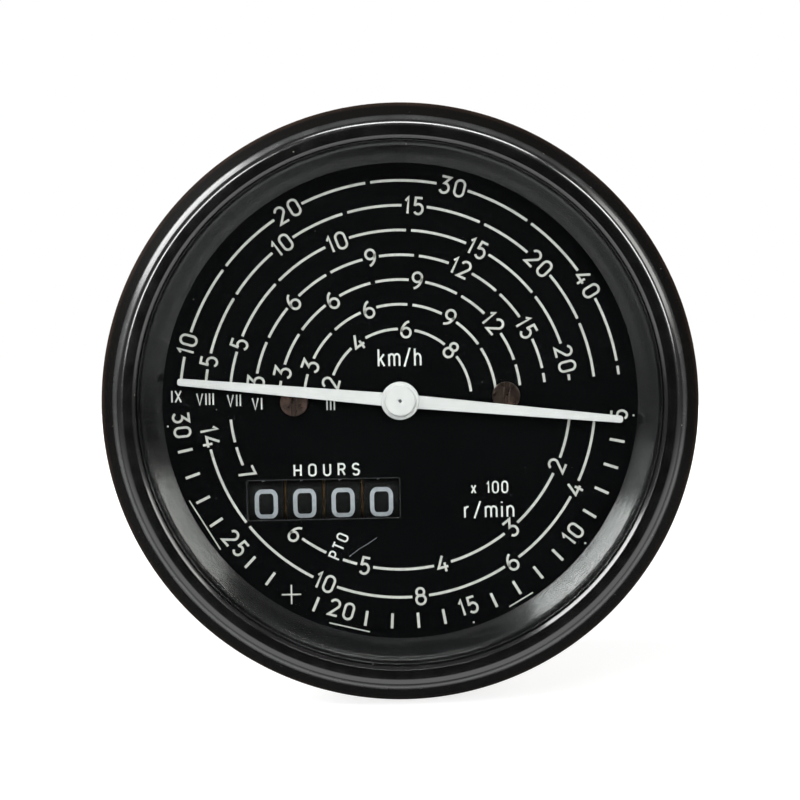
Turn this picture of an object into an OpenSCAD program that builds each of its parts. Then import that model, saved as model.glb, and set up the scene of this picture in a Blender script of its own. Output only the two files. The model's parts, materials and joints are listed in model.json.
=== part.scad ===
// Tractor tachometer: engine speed on a round dial, a magnet-driven pointer, an hour counter.
// Each piece is drawn with x to the right, y up the dial and z towards the reader, from the
// plane where the bezel rests on the panel. place() then stands the dial upright, facing -Y.

/* [Case and bezel] */
// Outside diameter of the case, which goes through the panel
case_d = 100; // [98:0.5:106]
// Thickness of the case's sheet
case_wall = 0.8; // [0.6:0.1:1]
// Outside radius of the case's rear corner
case_corner = 6; // [3:0.5:6.5]
// Thickness of the case's front flange
flange_t = 1; // [0.8:0.1:1.2]
// How far the bezel laps over the panel, beyond the case
bezel_lap = 5.5; // [5.1:0.1:6]
// Width of the rim, from the bezel's outside to the opening in its lip
rim_w = 7.1; // [6.7:0.1:7.5]
// How far the bezel's flat front stands before the panel
crest_h = 8; // [7.8:0.1:9]
// How far the flat front's outer edge stands in from the bezel's outside
crest_in = 5; // [4.8:0.1:5.3]
// Radius of the rounding from the flat front into the flank
bead_r = 2.5; // [2.2:0.1:2.8]
// Radius of the bezel's rear corner
rear_r = 1; // [0.8:0.1:1.2]
// Width of the slope round the opening
lip_slope_w = 0.7; // [0.5:0.1:0.9]
// Depth of that slope
lip_slope_h = 0.55; // [0.4:0.05:0.7]
// Thickness of the bezel's sheet
bezel_sheet = 0.9; // [0.7:0.1:1]
// Gap between the case's barrel and the bezel's rolled rear edge
roll_gap = 0.9; // [0.7:0.1:1.6]

/* [Glass and ring] */
// How far the bezel's lip laps over the glass
glass_lap = 1.6; // [1.2:0.1:1.8]
// Thickness of the glass
glass_t = 2.5; // [2:0.1:2.7]
// Thickness of the rubber seal between case flange and ring
seal_t = 1.7; // [1.4:0.1:1.9]
// How far the seal reaches under the ring's flange
seal_lap = 0.7; // [0.5:0.1:0.8]
// Thickness of the ring's sheet
ring_t = 0.8; // [0.6:0.1:1]
// Width of the ring's sloping face, seen from the front
cone_w = 3.5; // [3:0.1:4]
// Height of the ring's sloping face over the dial
cone_rise = 2.7; // [2.2:0.1:3.2]
// How far the top of the slope lies inside the lip's opening
cone_inset = 0.8; // [0.7:0.1:1.2]

/* [Dial and pointer] */
// How far the dial's face lies behind the panel plane
dial_drop = 2; // [1.6:0.2:6]
// Thickness of the dial plate
dial_t = 0.8; // [0.6:0.1:1]
// How far the dial plate reaches beyond the foot of the ring's slope
dial_lap = 2.4; // [1.6:0.1:2.6]
// Distance of each dial screw from the middle
dial_screw_x = 20; // [19:0.5:21]
// Height of the dial screws above the middle
dial_screw_y = 0.3; // [0:0.1:0.6]
// Diameter of a dial screw's head
dial_screw_d = 5; // [4:0.2:5.4]
// Gap between the pointer's tips and the foot of the ring's slope
tip_gap = 2.7; // [1.4:0.1:6]
// Width of the pointer at its hub
pointer_root_w = 2.55; // [2:0.05:3]
// Width of the pointer at its tips
pointer_tip_w = 1.3; // [1:0.05:1.6]
// Thickness of the pointer's arms
pointer_t = 0.6; // [0.4:0.1:0.8]
// Diameter of the pointer's hub
pointer_hub_d = 7.1; // [6:0.1:8]
// Diameter of the raised cap on the hub
pointer_cap_d = 5.7; // [4.6:0.1:5.8]
// Angle of the pointer at rest, clockwise from three o'clock
pointer_rest = 6; // [4:0.5:8]
// Swing of the pointer from its rest to the last mark
pointer_swing = 169; // [150:1:169]

/* [Counter] */
// Diameter of a number drum
drum_d = 22; // [21:0.5:23]
// Width of a number drum
drum_w = 6.6; // [6.2:0.1:6.8]
// Space between two drums
drum_space = 0.6; // [0.5:0.05:0.8]
// Place of the units drum, measured from the middle of the dial
units_x = -3.9; // [-4.4:0.1:-3.9]
// Height of the drums' axle
drum_y = -18.6; // [-19:0.1:-18.4]
// Diameter of the drums' axle
axle_d = 3; // [2.6:0.1:3.2]
// Thickness of a carrier plate
carrier_t = 0.4; // [0.3:0.05:0.4]
// Teeth inside a drum
drum_teeth = 20; // [20:1:20]
// Teeth on a transfer pinion
pinion_teeth = 6; // [6:1:6]
// Pitch radius of the teeth inside a drum
inner_gear_r = 8.5; // [8.4:0.05:8.6]
// Width of the counter window
window_w = 28.6; // [27.8:0.2:29.4]
// Height of the counter window
window_h = 7.5; // [6.5:0.1:8.5]
// How far the window's middle lies above the drums' axle
window_up = 0.4; // [0:0.1:0.6]
// Thickness of the counter frame's sheet
frame_t = 1.2; // [1:0.1:1.4]

/* [Gear train] */
// Teeth on the cross wheel, driven by the drive shaft's worm
cross_teeth = 60; // [56:4:60]
// Tooth module of the cross wheel
cross_module = 0.3; // [0.28:0.01:0.3]
// Teeth on the rising wheel
rising_teeth = 100; // [88:4:100]
// Teeth on the counter wheel
counter_teeth = 80; // [72:4:80]
// Tooth module of the counter wheel
counter_module = 0.26; // [0.24:0.01:0.27]
// Pitch radius of the worm on the drive shaft
drive_worm_r = 3.7; // [3.6:0.1:4]
// Pitch radius of the other two worms
small_worm_r = 2.4; // [2.2:0.1:2.5]
// Turns of thread on each worm
worm_turns = 6; // [6:2:8]
// Diameter of the cross and rising shafts
small_shaft_d = 3; // [2.6:0.1:3]
// Place of the rising shaft, to the right of the middle
rise_x = 22; // [22:0.2:23]
// Thickness of the worm wheels
wheel_t = 2; // [1.6:0.1:2]

/* [Magnet drive] */
// Diameter of the drive shaft
drive_d = 6; // [5.6:0.1:6.4]
// Width of the square socket for the flexible shaft
socket_w = 2.7; // [2.6:0.05:3.2]
// Diameter of the magnet
magnet_d = 22; // [18:0.5:22.4]
// Thickness of the magnet
magnet_t = 6; // [5:0.5:7]
// Air gap on each side of the drag cup's wall
air_gap = 1; // [0.7:0.1:1.2]
// Thickness of the drag cup
drag_t = 0.6; // [0.5:0.1:0.8]
// Wall of the flux cup
flux_t = 1.4; // [1:0.1:1.6]
// Diameter of the pointer spindle
spindle_d = 1.6; // [1.4:0.1:1.8]
// Turns of the hairspring
spring_turns = 5; // [3:1:6]
// Thickness of the hairspring's strip
spring_t = 0.2; // [0.15:0.05:0.3]

/* [Movement frame] */
// Thickness of the movement plate
plate_t = 2; // [1.6:0.1:2.4]
// Free depth between the movement plate and the drag cup
cup_space = 8.36; // [6:0.02:20]
// Width of the movement plate outside the pillars' axes
plate_edge = 4.1; // [3.6:0.1:4.6]
// Thickness of the base's arms and disc
base_t = 2.5; // [2:0.1:3]
// Diameter of the base's disc
base_d = 52; // [50:1:54]
// Diameter of a frame pillar
pillar_d = 7; // [5:0.5:8]
// Diameter of a dial pillar
dial_pillar_d = 5; // [4:0.2:5]
// Thickness of the spindle bridge
bridge_t = 1.5; // [1.2:0.1:1.8]

/* [Rear connections] */
// Diameter of the drive boss
boss_d = 18; // [16:0.5:20]
// Length of the drive boss behind the case
boss_l = 20; // [16:1:26]
// Distance of each mounting stud from the edge of the case's flat back
stud_inset = 11; // [8:0.5:12]
// Diameter of the recess for the flexible shaft's ferrule
ferrule_d = 11.2; // [10.4:0.2:12]
// Diameter of the mounting studs
stud_d = 5; // [4:0.5:6]
// Length of the mounting studs behind the case
stud_l = 22; // [14:1:30]
// Angle of the lamps above the dial's left and right
lamp_angle = 55.4; // [54:0.2:58]
// Gap between a lamp holder's flange and the edge of the case's flat back
lamp_edge = 1.2; // [0.8:0.1:3]
// Diameter of a lamp holder's sleeve
lamp_d = 12; // [11:0.5:12.5]

/* [Fits] */
// Radial play of a shaft in its bearing
run_gap = 0.03; // [0.02:0.01:0.05]
// Radial play of a screw in its hole
screw_gap = 0.1; // [0.05:0.05:0.3]
// Extra centre distance where a worm meets its wheel
mesh_gap = 0.1; // [0.08:0.01:0.14]
// Free space between a turning piece and what it passes
free_gap = 0.6; // [0.5:0.1:0.7]

/* [Hidden] */
$fn = 96;
worm_sides = 14;
eps = 0.01;

// Front stack, from the panel plane forwards
flange_z = bezel_sheet + flange_t;
ring_z = flange_z + seal_t;
glass_z = ring_z + ring_t;
glass_front = glass_z + glass_t;

// Radii of the front stack, from the case outwards and back in to the pointer's tips
case_r = case_d / 2;
floor_r = case_r - case_corner;
roll_r = case_r + roll_gap;
bezel_r = case_r + bezel_lap;
flange_play = 1;
flange_r = bezel_r - bezel_sheet - flange_play;
view_r = bezel_r - rim_w;
// Centre of the bezel's large rounding; flank_lean is how far the flank that touches it and the
// rear corner leans in, so the line between both centres turned by their difference in size
crest_r = bezel_r - crest_in;
bead_z = crest_h - bead_r;
to_bead = [rear_r - crest_in, bead_z - rear_r];
flank_lean = atan2(to_bead[1], to_bead[0]) - acos((rear_r - bead_r) / norm(to_bead));
glass_r = view_r + glass_lap;
glass_play = 0.2;
cone_top_r = view_r - cone_inset;
cone_foot_r = cone_top_r - cone_w;
dial_r = cone_foot_r + dial_lap;
pointer_reach = cone_foot_r - tip_gap;

// Dial, drums and movement plate, from the dial backwards
dial_z = -dial_drop;
dial_back = dial_z - dial_t;
dial_hole_r = 2.2;
drum_r = drum_d / 2;
drum_front_gap = 0.4;
drum_z = dial_back - drum_front_gap - drum_r;
plate_z = drum_z - drum_r - free_gap - frame_t;
plate_back = plate_z - plate_t;
dial_screw_head = 1.2;
pointer_z = dial_z + dial_screw_head + 0.5;
pointer_hub_t = 1;
pointer_cap_t = 0.8;

// Drag cup, magnet, gear train and base, from the movement plate backwards
function tooth_rise(m) = 0.9 * m;
function thread_rise(m) = 0.9 * m + 0.04;
cross_r = cross_teeth * cross_module / 2;
cross_tip = cross_r + tooth_rise(cross_module);
flux_floor = 1;
flux_gap = 0.4;
hub_r = 4.2;
hub_cap_t = 0.7;
cup_gap = 0.9;
drag_front = plate_back - cup_space;
drag_z = drag_front - drag_t;
hub_front = drag_z - cup_gap;
magnet_front = hub_front - hub_cap_t;
magnet_z = magnet_front - magnet_t;
flux_z = magnet_z - flux_gap - flux_floor;
cross_z = flux_z - free_gap - 0.2 - cross_tip;
base_z = cross_z - cross_tip - free_gap / 1.5;
inner_back = base_z - base_t;
back_z = inner_back - case_wall;
magnet_r = magnet_d / 2;
drag_r = magnet_r + air_gap;
flux_r = drag_r + drag_t + air_gap;

// Gear train, from the drive shaft up to the counter
cross_y = cross_r + drive_worm_r + mesh_gap;
counter_r = counter_teeth * counter_module / 2;
rise_y = drum_y + counter_r + small_worm_r + mesh_gap;
rising_r = cross_y - rise_y - small_worm_r - mesh_gap;
rising_module = 2 * rising_r / rising_teeth;
small_r = small_shaft_d / 2;
drive_r = drive_d / 2;
spindle_r = spindle_d / 2;
axle_r = axle_d / 2;

// Pointer bearings, hairspring and stops
bridge_front = dial_back - 3.9;
bridge_back = bridge_front - bridge_t;
bridge_half = 15;
bridge_half_w = 4;
bearing_r = 2;
main_bearing_r = 2.5;
lever_t = 1;
spring_z = bridge_back - lever_t - 3;
spring_h = 0.8;
collet_r = 2.4;
spring_end_r = 6.5;
stud_pin_r = 0.5;
stop_z = spring_z - 5;
stop_arm_t = 0.8;
stop_arm_w = 1.4;
stop_arm_l = 6.4;
stop_r = 5.6;
stop_pin_r = 0.5;
stop_angle = asin((stop_arm_w / 2 + stop_pin_r + 0.05) / stop_r);

// Frame pillars, screws, lamps and studs, set out on the case's flat back
pad_r = 4;
arm_half = 3.2;
pillar_ring_r = floor_r - pad_r - 0.1;
pillar_places = [for (a = [27, 153, 238.3, 301.7]) pillar_ring_r * [cos(a), sin(a)]];
plate_r = pillar_ring_r + plate_edge;
screw_boss_r = 4;
base_screw_ring_r = base_d / 2 - 2;
base_screw_places = [for (a = [30, 150, 270]) base_screw_ring_r * [cos(a), sin(a)]];
base_head_r = 3.6;
base_head_h = 2.4;
bridge_screw_x = 11.3;
bracket_leg = 4.8;
bracket_foot = 6.6;
bracket_screw_x = rise_x + bracket_leg + bracket_foot - 2.8;
small_screw_r = 1.25;
plate_screw_r = 1.5;
base_screw_r = 2;
stud_x = floor_r - stud_inset;
stud_head = 2.5;
stud_head_t = 1.5;
lamp_rim = 1.6;
lamp_ring_r = floor_r - lamp_d / 2 - lamp_rim - lamp_edge;
lamp_x = lamp_ring_r * cos(lamp_angle);
lamp_y = lamp_ring_r * sin(lamp_angle);

// Drive boss, with the bushes that carry the drive shaft
boss_r = boss_d / 2;
relief_l = 1.5;
boss_relief = 0.9;
stud_relief = 0.4;
stud_play = 0.25;
ferrule_depth = 5;
socket_l = 10;
drive_end = back_z - boss_l + ferrule_depth + 0.3;
bush_r = 4.6;
ferrule_r = ferrule_d / 2;
nipple_neck_r = 7;
nipple_top_r = 5.4;
front_bush_top = base_z + 2.7;
rear_bush_z = drive_end + 2;
rear_bush_top = rear_bush_z + 8;

// Counter: one place for each drum, from the units drum to the left
drum_pitch = drum_w + drum_space;
window_y = drum_y + window_up;
function drum_x(i) = units_x - i * drum_pitch;
gap_x = drum_space / 2;
pinion_r = inner_gear_r * pinion_teeth / drum_teeth;
pinion_reach = inner_gear_r - pinion_r;
tooth_out = 0.65;
tooth_in = 0.75;
hub_out = 2.3;
recess_deep = 2.4;
rod_r = 1;
rod_play = 0.73;
rod_offset = (drum_r + rod_r + rod_play) / sqrt(2);
rod_y = drum_y - rod_offset;
rod_z = drum_z - rod_offset;
lug_half = 1.7;
cheek_left = drum_x(3) - drum_w / 2 - 1.6;
cheek_mid = units_x + drum_w / 2 + 1.6;
cheek_right = rise_x + 2.8;
frame_low = rod_offset + 3.4;
frame_high = 7.5;
frame_screw_places = [for (x = [drum_x(3) + 1.5, cheek_mid + 11]) [x, drum_y + frame_high - 1.4]];

module place() { rotate([90, 0, 0]) children(); }
module rod(r, z0, z1) { translate([0, 0, z0]) cylinder(r = r, h = z1 - z0); }
module tube(r, bore, z0, z1) {
  difference() {
    rod(r, z0, z1);
    rod(bore, z0 - 1, z1 + 1);
  }
}
module block(x0, x1, y0, y1, z0, z1) { translate([x0, y0, z0]) cube([x1 - x0, y1 - y0, z1 - z0]); }
// A piece drawn along z is laid along x, with its own y kept upright
module along_x(x, y, z) { translate([x, y, z]) rotate([0, 90, 0]) children(); }
module both_sides() { for (side = [-1, 1]) translate([side * dial_screw_x, dial_screw_y, 0]) children(); }
module at_places(places) { for (p = places) translate([p[0], p[1], 0]) children(); }
function arc(cx, cy, rx, ry, a0, a1, n) =
  [for (i = [0 : n]) let (a = a0 + (a1 - a0) * i / n) [cx + rx * cos(a), cy + ry * sin(a)]];
// One closed outline with n teeth; the two widths are half shares of a tooth's pitch
function tooth_outline(n, r_out, r_in, w_out, w_in) =
  [for (i = [0 : n - 1], k = [[-w_out, r_out], [w_out, r_out], [w_in, r_in], [1 - w_in, r_in]])
    let (a = 360 * (i + k[0]) / n) [k[1] * cos(a), k[1] * sin(a)]];
// A thread that goes round with a circle carried off the axis; groove faces the wheel's angle
module worm(r, m, hand, wheel_angle) {
  pitch = PI * m;
  rotate(wheel_angle - 180)
    linear_extrude(height = pitch * worm_turns, twist = -360 * worm_turns * hand,
      slices = 10 * worm_turns, center = true, $fn = worm_sides)
      translate([thread_rise(m), 0]) circle(r = r);
}
module worm_wheel(teeth, m, hub, hub_l, bore, holes) {
  r = teeth * m / 2;
  rise = tooth_rise(m);
  difference() {
    union() {
      translate([0, 0, -wheel_t / 2])
        linear_extrude(wheel_t) polygon(tooth_outline(teeth, r + rise, r - rise, 0.07, 0.36));
      rod(hub, -hub_l / 2, hub_l / 2);
    }
    rod(bore, -hub_l, hub_l);
    for (i = [0 : holes - 1]) rotate(360 * (i + 0.5) / holes)
      translate([(r + hub) / 2, 0, -wheel_t]) cylinder(r = (r - hub) * 0.3, h = 2 * wheel_t);
  }
}
// A slotted screw with its head's seat at z = 0
module screw(r, length, head_r, head_h, slot) {
  difference() {
    union() {
      rod(r, -length, eps);
      rod(head_r, 0, head_h);
    }
    block(-head_r - 1, head_r + 1, -slot / 2, slot / 2, head_h * 0.55, head_h + 1);
  }
}

// The rear corner leads into a leaning flank, a large rounding and a flat front, and a small
// slope round the opening; the inner face lies a sheet's thickness behind
module bezel() {
  outer = concat(
    arc(bezel_r - rear_r, rear_r, rear_r, rear_r, -90, flank_lean, 6),
    arc(crest_r, bead_z, bead_r, bead_r, flank_lean, 90, 9),
    [[view_r + lip_slope_w, crest_h], [view_r, crest_h - lip_slope_h]]);
  inner = concat(
    [[view_r, glass_front], [glass_r + glass_play, glass_front]],
    arc(crest_r, bead_z, bead_r - bezel_sheet, bead_r - bezel_sheet, 80, flank_lean, 6),
    [[bezel_r - bezel_sheet, bezel_sheet], [roll_r, bezel_sheet], [roll_r, 0]]);
  color("#141414") place() rotate_extrude() polygon(concat(outer, inner));
}

module glass() {
  color([0.8, 0.9, 0.88, 0.3]) place() rod(glass_r, glass_z, glass_front);
}

// The seal's outside leans in like the bezel's flank round it
module glass_seal() {
  seal_in = glass_r - seal_lap;
  seal_top_r = flange_r - tan(flank_lean) * (glass_z - flange_z);
  color("#26241f") place() rotate_extrude() polygon([
    [seal_in, flange_z], [flange_r, flange_z], [seal_top_r, glass_z],
    [glass_r + glass_play, glass_z], [glass_r + glass_play, ring_z], [seal_in, ring_z]]);
}

// A shallow slope rises from the dial, then a steep wall carries the flange under the glass
module reflector_ring() {
  slope_top = dial_z + cone_rise;
  wall_top_r = cone_top_r + 0.5;
  color("#1a1a1a") place() rotate_extrude() polygon([
    [cone_foot_r, dial_z], [cone_top_r, slope_top], [wall_top_r, glass_z], [glass_r, glass_z],
    [glass_r, ring_z], [wall_top_r + ring_t, ring_z], [cone_top_r + ring_t, slope_top - 0.3 * ring_t],
    [cone_foot_r + 1.6 * ring_t, dial_z]]);
}

module dial_plate() {
  color("#1c1c1b") place() difference() {
    rod(dial_r, dial_back, dial_z);
    rod(dial_hole_r, dial_back - 1, dial_z + 1);
    both_sides() rod(plate_screw_r + screw_gap, dial_back - 1, dial_z + 1);
    block(drum_x(1.5) - window_w / 2, drum_x(1.5) + window_w / 2,
      window_y - window_h / 2, window_y + window_h / 2, dial_back - 1, dial_z + 1);
  }
}

module dial_screws() {
  color("#3a332b") place() both_sides() translate([0, 0, dial_z]) rotate(35)
    screw(plate_screw_r, 6, dial_screw_d / 2, dial_screw_head, 0.8);
}

module dial_pillars() {
  color("#b8a063") place() both_sides() difference() {
    rod(dial_pillar_d / 2, plate_z, dial_back);
    rod(plate_screw_r + screw_gap, dial_back - 8, dial_back + 1);
  }
}

module pointer_arm() {
  tip = pointer_tip_w / 2;
  polygon(concat([[0, -pointer_root_w / 2]],
    arc(pointer_reach - tip, 0, tip, tip, -90, 90, 8), [[0, pointer_root_w / 2]]));
}

module pointer() {
  cap_top = pointer_z + pointer_hub_t + pointer_cap_t;
  color("#ecebe4") place() rotate(-pointer_rest) difference() {
    union() {
      translate([0, 0, pointer_z]) linear_extrude(pointer_t) union() {
        pointer_arm();
        rotate(180) pointer_arm();
      }
      rod(pointer_hub_d / 2, pointer_z, pointer_z + pointer_hub_t);
      rod(pointer_cap_d / 2, pointer_z, cap_top);
      rod(1.6, pointer_z - 1.1, pointer_z + eps);
    }
    rod(spindle_r, pointer_z - 2, pointer_z + 0.9);
    rod(0.3, pointer_z, cap_top + 1);
  }
}

module pointer_spindle() {
  color("#c9c9c4") place() {
    rod(spindle_r, drag_z - 0.3, pointer_z + 0.9);
    rod(2, drag_front, drag_front + 1.5);
    rod(1.4, plate_back - 1.4, plate_back - 0.6);
  }
}

module drag_cup() {
  color("#c4c6c6") place() difference() {
    rod(drag_r + drag_t, magnet_z + 0.5, drag_front);
    rod(drag_r, magnet_z - 1, drag_z);
    rod(spindle_r, drag_z - 1, drag_front + 1);
  }
}

module spring_collet() {
  color("#b08d4c") place() tube(collet_r, spindle_r, spring_z - 0.8, spring_z + spring_h + 0.4);
}

module hairspring() {
  steps = 24 * spring_turns;
  start_r = collet_r + run_gap;
  rise = (spring_end_r - start_r - spring_t) / steps;
  function coil(i, side) = let (a = 90 - 360 * (steps - i) / 24, r = start_r + rise * i + side)
    [r * cos(a), r * sin(a)];
  color("#a8752f") place() translate([0, 0, spring_z]) linear_extrude(spring_h)
    polygon(concat([for (i = [0 : steps]) coil(i, 0)], [for (i = [steps : -1 : 0]) coil(i, spring_t)]));
}

module regulator_lever() {
  color("#b7b3a4") place() difference() {
    union() {
      rod(3.6, bridge_back - lever_t, bridge_back);
      block(-1.2, 1.2, 0, 11, bridge_back - lever_t, bridge_back);
      translate([0, spring_end_r + stud_pin_r, 0]) rod(stud_pin_r, spring_z - 0.3, bridge_back);
    }
    rod(bearing_r + 0.02, bridge_back - 2, bridge_back + 1);
  }
}

module stop_arm() {
  color("#b08d4c") place() rotate(-pointer_rest) difference() {
    union() {
      rod(2, stop_z - 0.6, stop_z + stop_arm_t + 0.6);
      block(0, stop_arm_l, -stop_arm_w / 2, stop_arm_w / 2, stop_z, stop_z + stop_arm_t);
    }
    rod(spindle_r, stop_z - 2, stop_z + 3);
  }
}

module stop_pins() {
  color("#c9c9c4") place()
    for (a = [pointer_rest - stop_angle, pointer_rest + pointer_swing + stop_angle])
      rotate(-a) translate([stop_r, 0, 0]) rod(stop_pin_r, plate_z, stop_z + 1.6);
}

module spindle_bridge() {
  foot = 6;
  color("#b7b3a4") place() difference() {
    block(-bridge_half, bridge_half, -bridge_half_w, bridge_half_w, plate_z, bridge_front);
    block(-bridge_half + bridge_t, bridge_half - bridge_t, -bridge_half_w - 1,
      bridge_half_w + 1, plate_z + bridge_t, bridge_back);
    block(-bridge_half + foot, bridge_half - foot, -bridge_half_w - 1,
      bridge_half_w + 1, plate_z - 1, plate_z + bridge_t + 1);
    rod(bearing_r, bridge_back - 1, bridge_front + 1);
    for (side = [-1, 1]) translate([side * bridge_screw_x, 0, 0])
      rod(small_screw_r + screw_gap, plate_z - 1, plate_z + bridge_t + 1);
  }
}

module movement_screws() {
  module one(x, y, seat) {
    translate([x, y, seat]) rotate(20) screw(small_screw_r, seat - plate_back, 2.2, 1.1, 0.5);
  }
  color("#8d8a80") place() {
    for (side = [-1, 1]) one(side * bridge_screw_x, 0, plate_z + bridge_t);
    for (p = frame_screw_places) one(p[0], p[1], plate_z + frame_t);
    one(bracket_screw_x, rise_y, plate_z + frame_t);
  }
}

module front_bearing() {
  color("#b5743a") place()
    tube(bearing_r, spindle_r + run_gap, bridge_back - lever_t - 0.2, bridge_front + 0.4);
}

module main_bearing() {
  color("#b5743a") place() tube(main_bearing_r, spindle_r + run_gap, plate_back - 0.4, plate_z + 0.4);
}

module movement_plate() {
  color("#b9a15f") place() difference() {
    rod(plate_r, plate_back, plate_z);
    for (side = [-1, 1]) translate([side * lamp_x, lamp_y, 0]) {
      rod(lamp_d / 2 + 2.5, plate_back - 1, plate_z + 1);
      block(-lamp_d / 2 - 2.5, lamp_d / 2 + 2.5, 0, 20, plate_back - 1, plate_z + 1);
    }
    rod(main_bearing_r, plate_back - 1, plate_z + 1);
    translate([rise_x, rise_y, 0]) rod(small_r + run_gap, plate_back - 1, plate_z + 1);
    at_places(pillar_places) rod(plate_screw_r + screw_gap, plate_back - 1, plate_z + 1);
    at_places(concat(frame_screw_places, [[-bridge_screw_x, 0], [bridge_screw_x, 0],
      [bracket_screw_x, rise_y]])) rod(small_screw_r + screw_gap, plate_back - 1, plate_z + 1);
  }
}

module plate_screws() {
  color("#8d8a80") place() at_places(pillar_places) translate([0, 0, plate_z])
    screw(plate_screw_r, plate_t + 6, 2.8, 1.6, 0.7);
}

module frame_pillars() {
  color("#9a9c98") place() at_places(pillar_places) difference() {
    rod(pillar_d / 2, base_z, plate_back);
    rod(plate_screw_r + screw_gap, plate_back - 8, plate_back + 1);
  }
}

// A lug with a round top that carries one end of the cross shaft
module cross_post(x0, x1) {
  half = 3;
  along_x(x0, cross_y, 0) linear_extrude(x1 - x0) polygon(concat(
    [[-base_z + eps, -half], [-base_z + eps, half]],
    arc(-cross_z, 0, half, half, 90, 270, 10)));
}

module base_outline() {
  circle(r = base_d / 2);
  for (p = pillar_places) {
    translate(p) circle(r = pad_r);
    rotate(atan2(p[1], p[0])) translate([0, -arm_half]) square([norm(p), 2 * arm_half]);
  }
  for (p = base_screw_places) translate(p) circle(r = screw_boss_r);
}

module mechanism_base() {
  boss_top = base_z + 3.5;
  color("#a7a8a4") place() difference() {
    union() {
      translate([0, 0, inner_back]) linear_extrude(base_t) base_outline();
      at_places(base_screw_places) rod(screw_boss_r, base_z - eps, boss_top);
      translate([rise_x, rise_y, 0]) rod(3.5, base_z - eps, boss_top);
      cross_post(-8, -5);
      cross_post(rise_x + 7.2, rise_x + 10.2);
    }
    rod(nipple_neck_r, inner_back - 1, base_z + 1);
    at_places(base_screw_places) rod(base_screw_r + screw_gap, inner_back - 1, base_z + 4);
    translate([rise_x, rise_y, 0]) rod(small_r + run_gap, inner_back + 1.2, base_z + 4);
    along_x(-10, cross_y, cross_z) cylinder(r = small_r + run_gap, h = rise_x + 25);
  }
}

module drive_nipple() {
  color("#b9a15f") place() difference() {
    union() {
      rod(boss_r, back_z - boss_l, inner_back);
      rod(nipple_neck_r, inner_back, base_z);
      rod(nipple_top_r, base_z, front_bush_top);
    }
    rod(bush_r, back_z - boss_l, front_bush_top + 1);
    rod(ferrule_r, back_z - boss_l - 1, back_z - boss_l + ferrule_depth);
    tube(boss_r + 1, boss_r - boss_relief, back_z - relief_l, back_z);
  }
}

module base_screws() {
  color("#b9b7ad") place() at_places(base_screw_places) translate([0, 0, back_z]) rotate([180, 0, 0])
    screw(base_screw_r, case_wall + base_t + 2.5, base_head_r, base_head_h, 1);
}

module drive_shaft() {
  color("#8f9296") place() difference() {
    union() {
      rod(drive_r, drive_end, hub_front);
      rod(4.3, front_bush_top + 0.7, front_bush_top + 2);
      translate([0, 0, cross_z]) worm(drive_worm_r, cross_module, -1, 90);
    }
    block(-socket_w / 2, socket_w / 2, -socket_w / 2, socket_w / 2, drive_end - 1, drive_end + socket_l);
    tube(drive_r + 1, drive_r - 0.35, drive_end + 1.1, drive_end + 1.9);
  }
}

module thrust_washer() {
  color("#b5743a") place() tube(4.8, drive_r + 0.1, front_bush_top, front_bush_top + 0.6);
}

module circlip() {
  color("#5f6266") place() difference() {
    tube(drive_r + 0.9, drive_r - 0.35, drive_end + 1.15, drive_end + 1.85);
    block(-1.2, 1.2, 0, drive_r + 2, drive_end, drive_end + 3);
  }
}

module front_bush() {
  color("#b5743a") place() tube(bush_r, drive_r + run_gap, front_bush_top - 6, front_bush_top);
}

module rear_bush() {
  color("#b5743a") place() tube(bush_r, drive_r + run_gap, rear_bush_z, rear_bush_top);
}

module oil_felt() {
  color("#8c7d66") place() tube(bush_r, drive_r + 0.3, rear_bush_top, front_bush_top - 6);
}

module flux_cup() {
  color("#8a8d90") place() difference() {
    rod(flux_r + flux_t, flux_z, magnet_front + 0.8);
    rod(flux_r, flux_z + flux_floor, magnet_front + 2);
    rod(drive_r, flux_z - 1, flux_z + 2);
  }
}

module magnet() {
  color("#4c4e52") place() tube(magnet_r, hub_r, magnet_z, magnet_front);
}

module magnet_hub() {
  color("#b08d4c") place() difference() {
    union() {
      rod(hub_r, flux_z + flux_floor, hub_front);
      rod(hub_r + 1.8, magnet_front, hub_front);
      rod(hub_r + 1.8, flux_z + flux_floor, magnet_z);
    }
    rod(drive_r, flux_z, hub_front + 1);
  }
}

module temperature_ring() {
  color("#6d6f73") place() tube(magnet_r - 0.5, hub_r + 2.1, magnet_front, magnet_front + 0.6);
}

module cross_shaft() {
  color("#8f9296") place() {
    along_x(-9.5, cross_y, cross_z) cylinder(r = small_r, h = rise_x + 21);
    along_x(rise_x, cross_y, cross_z) worm(small_worm_r, rising_module, 1, -90);
  }
}

module cross_wheel() {
  color("#c2a45a") place() along_x(0, cross_y, cross_z)
    worm_wheel(cross_teeth, cross_module, 3, 5, small_r, 5);
}

module rising_shaft() {
  color("#8f9296") place() translate([rise_x, rise_y, 0]) {
    rod(small_r, inner_back + 1.4, drum_z + 5);
    rod(1, drum_z, drum_z + 7);
    translate([0, 0, drum_z]) worm(small_worm_r, counter_module, 1, -90);
  }
}

module rising_wheel() {
  color("#c2a45a") place() translate([rise_x, rise_y, cross_z])
    worm_wheel(rising_teeth, rising_module, 3.4, 5, small_r, 6);
}

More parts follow.
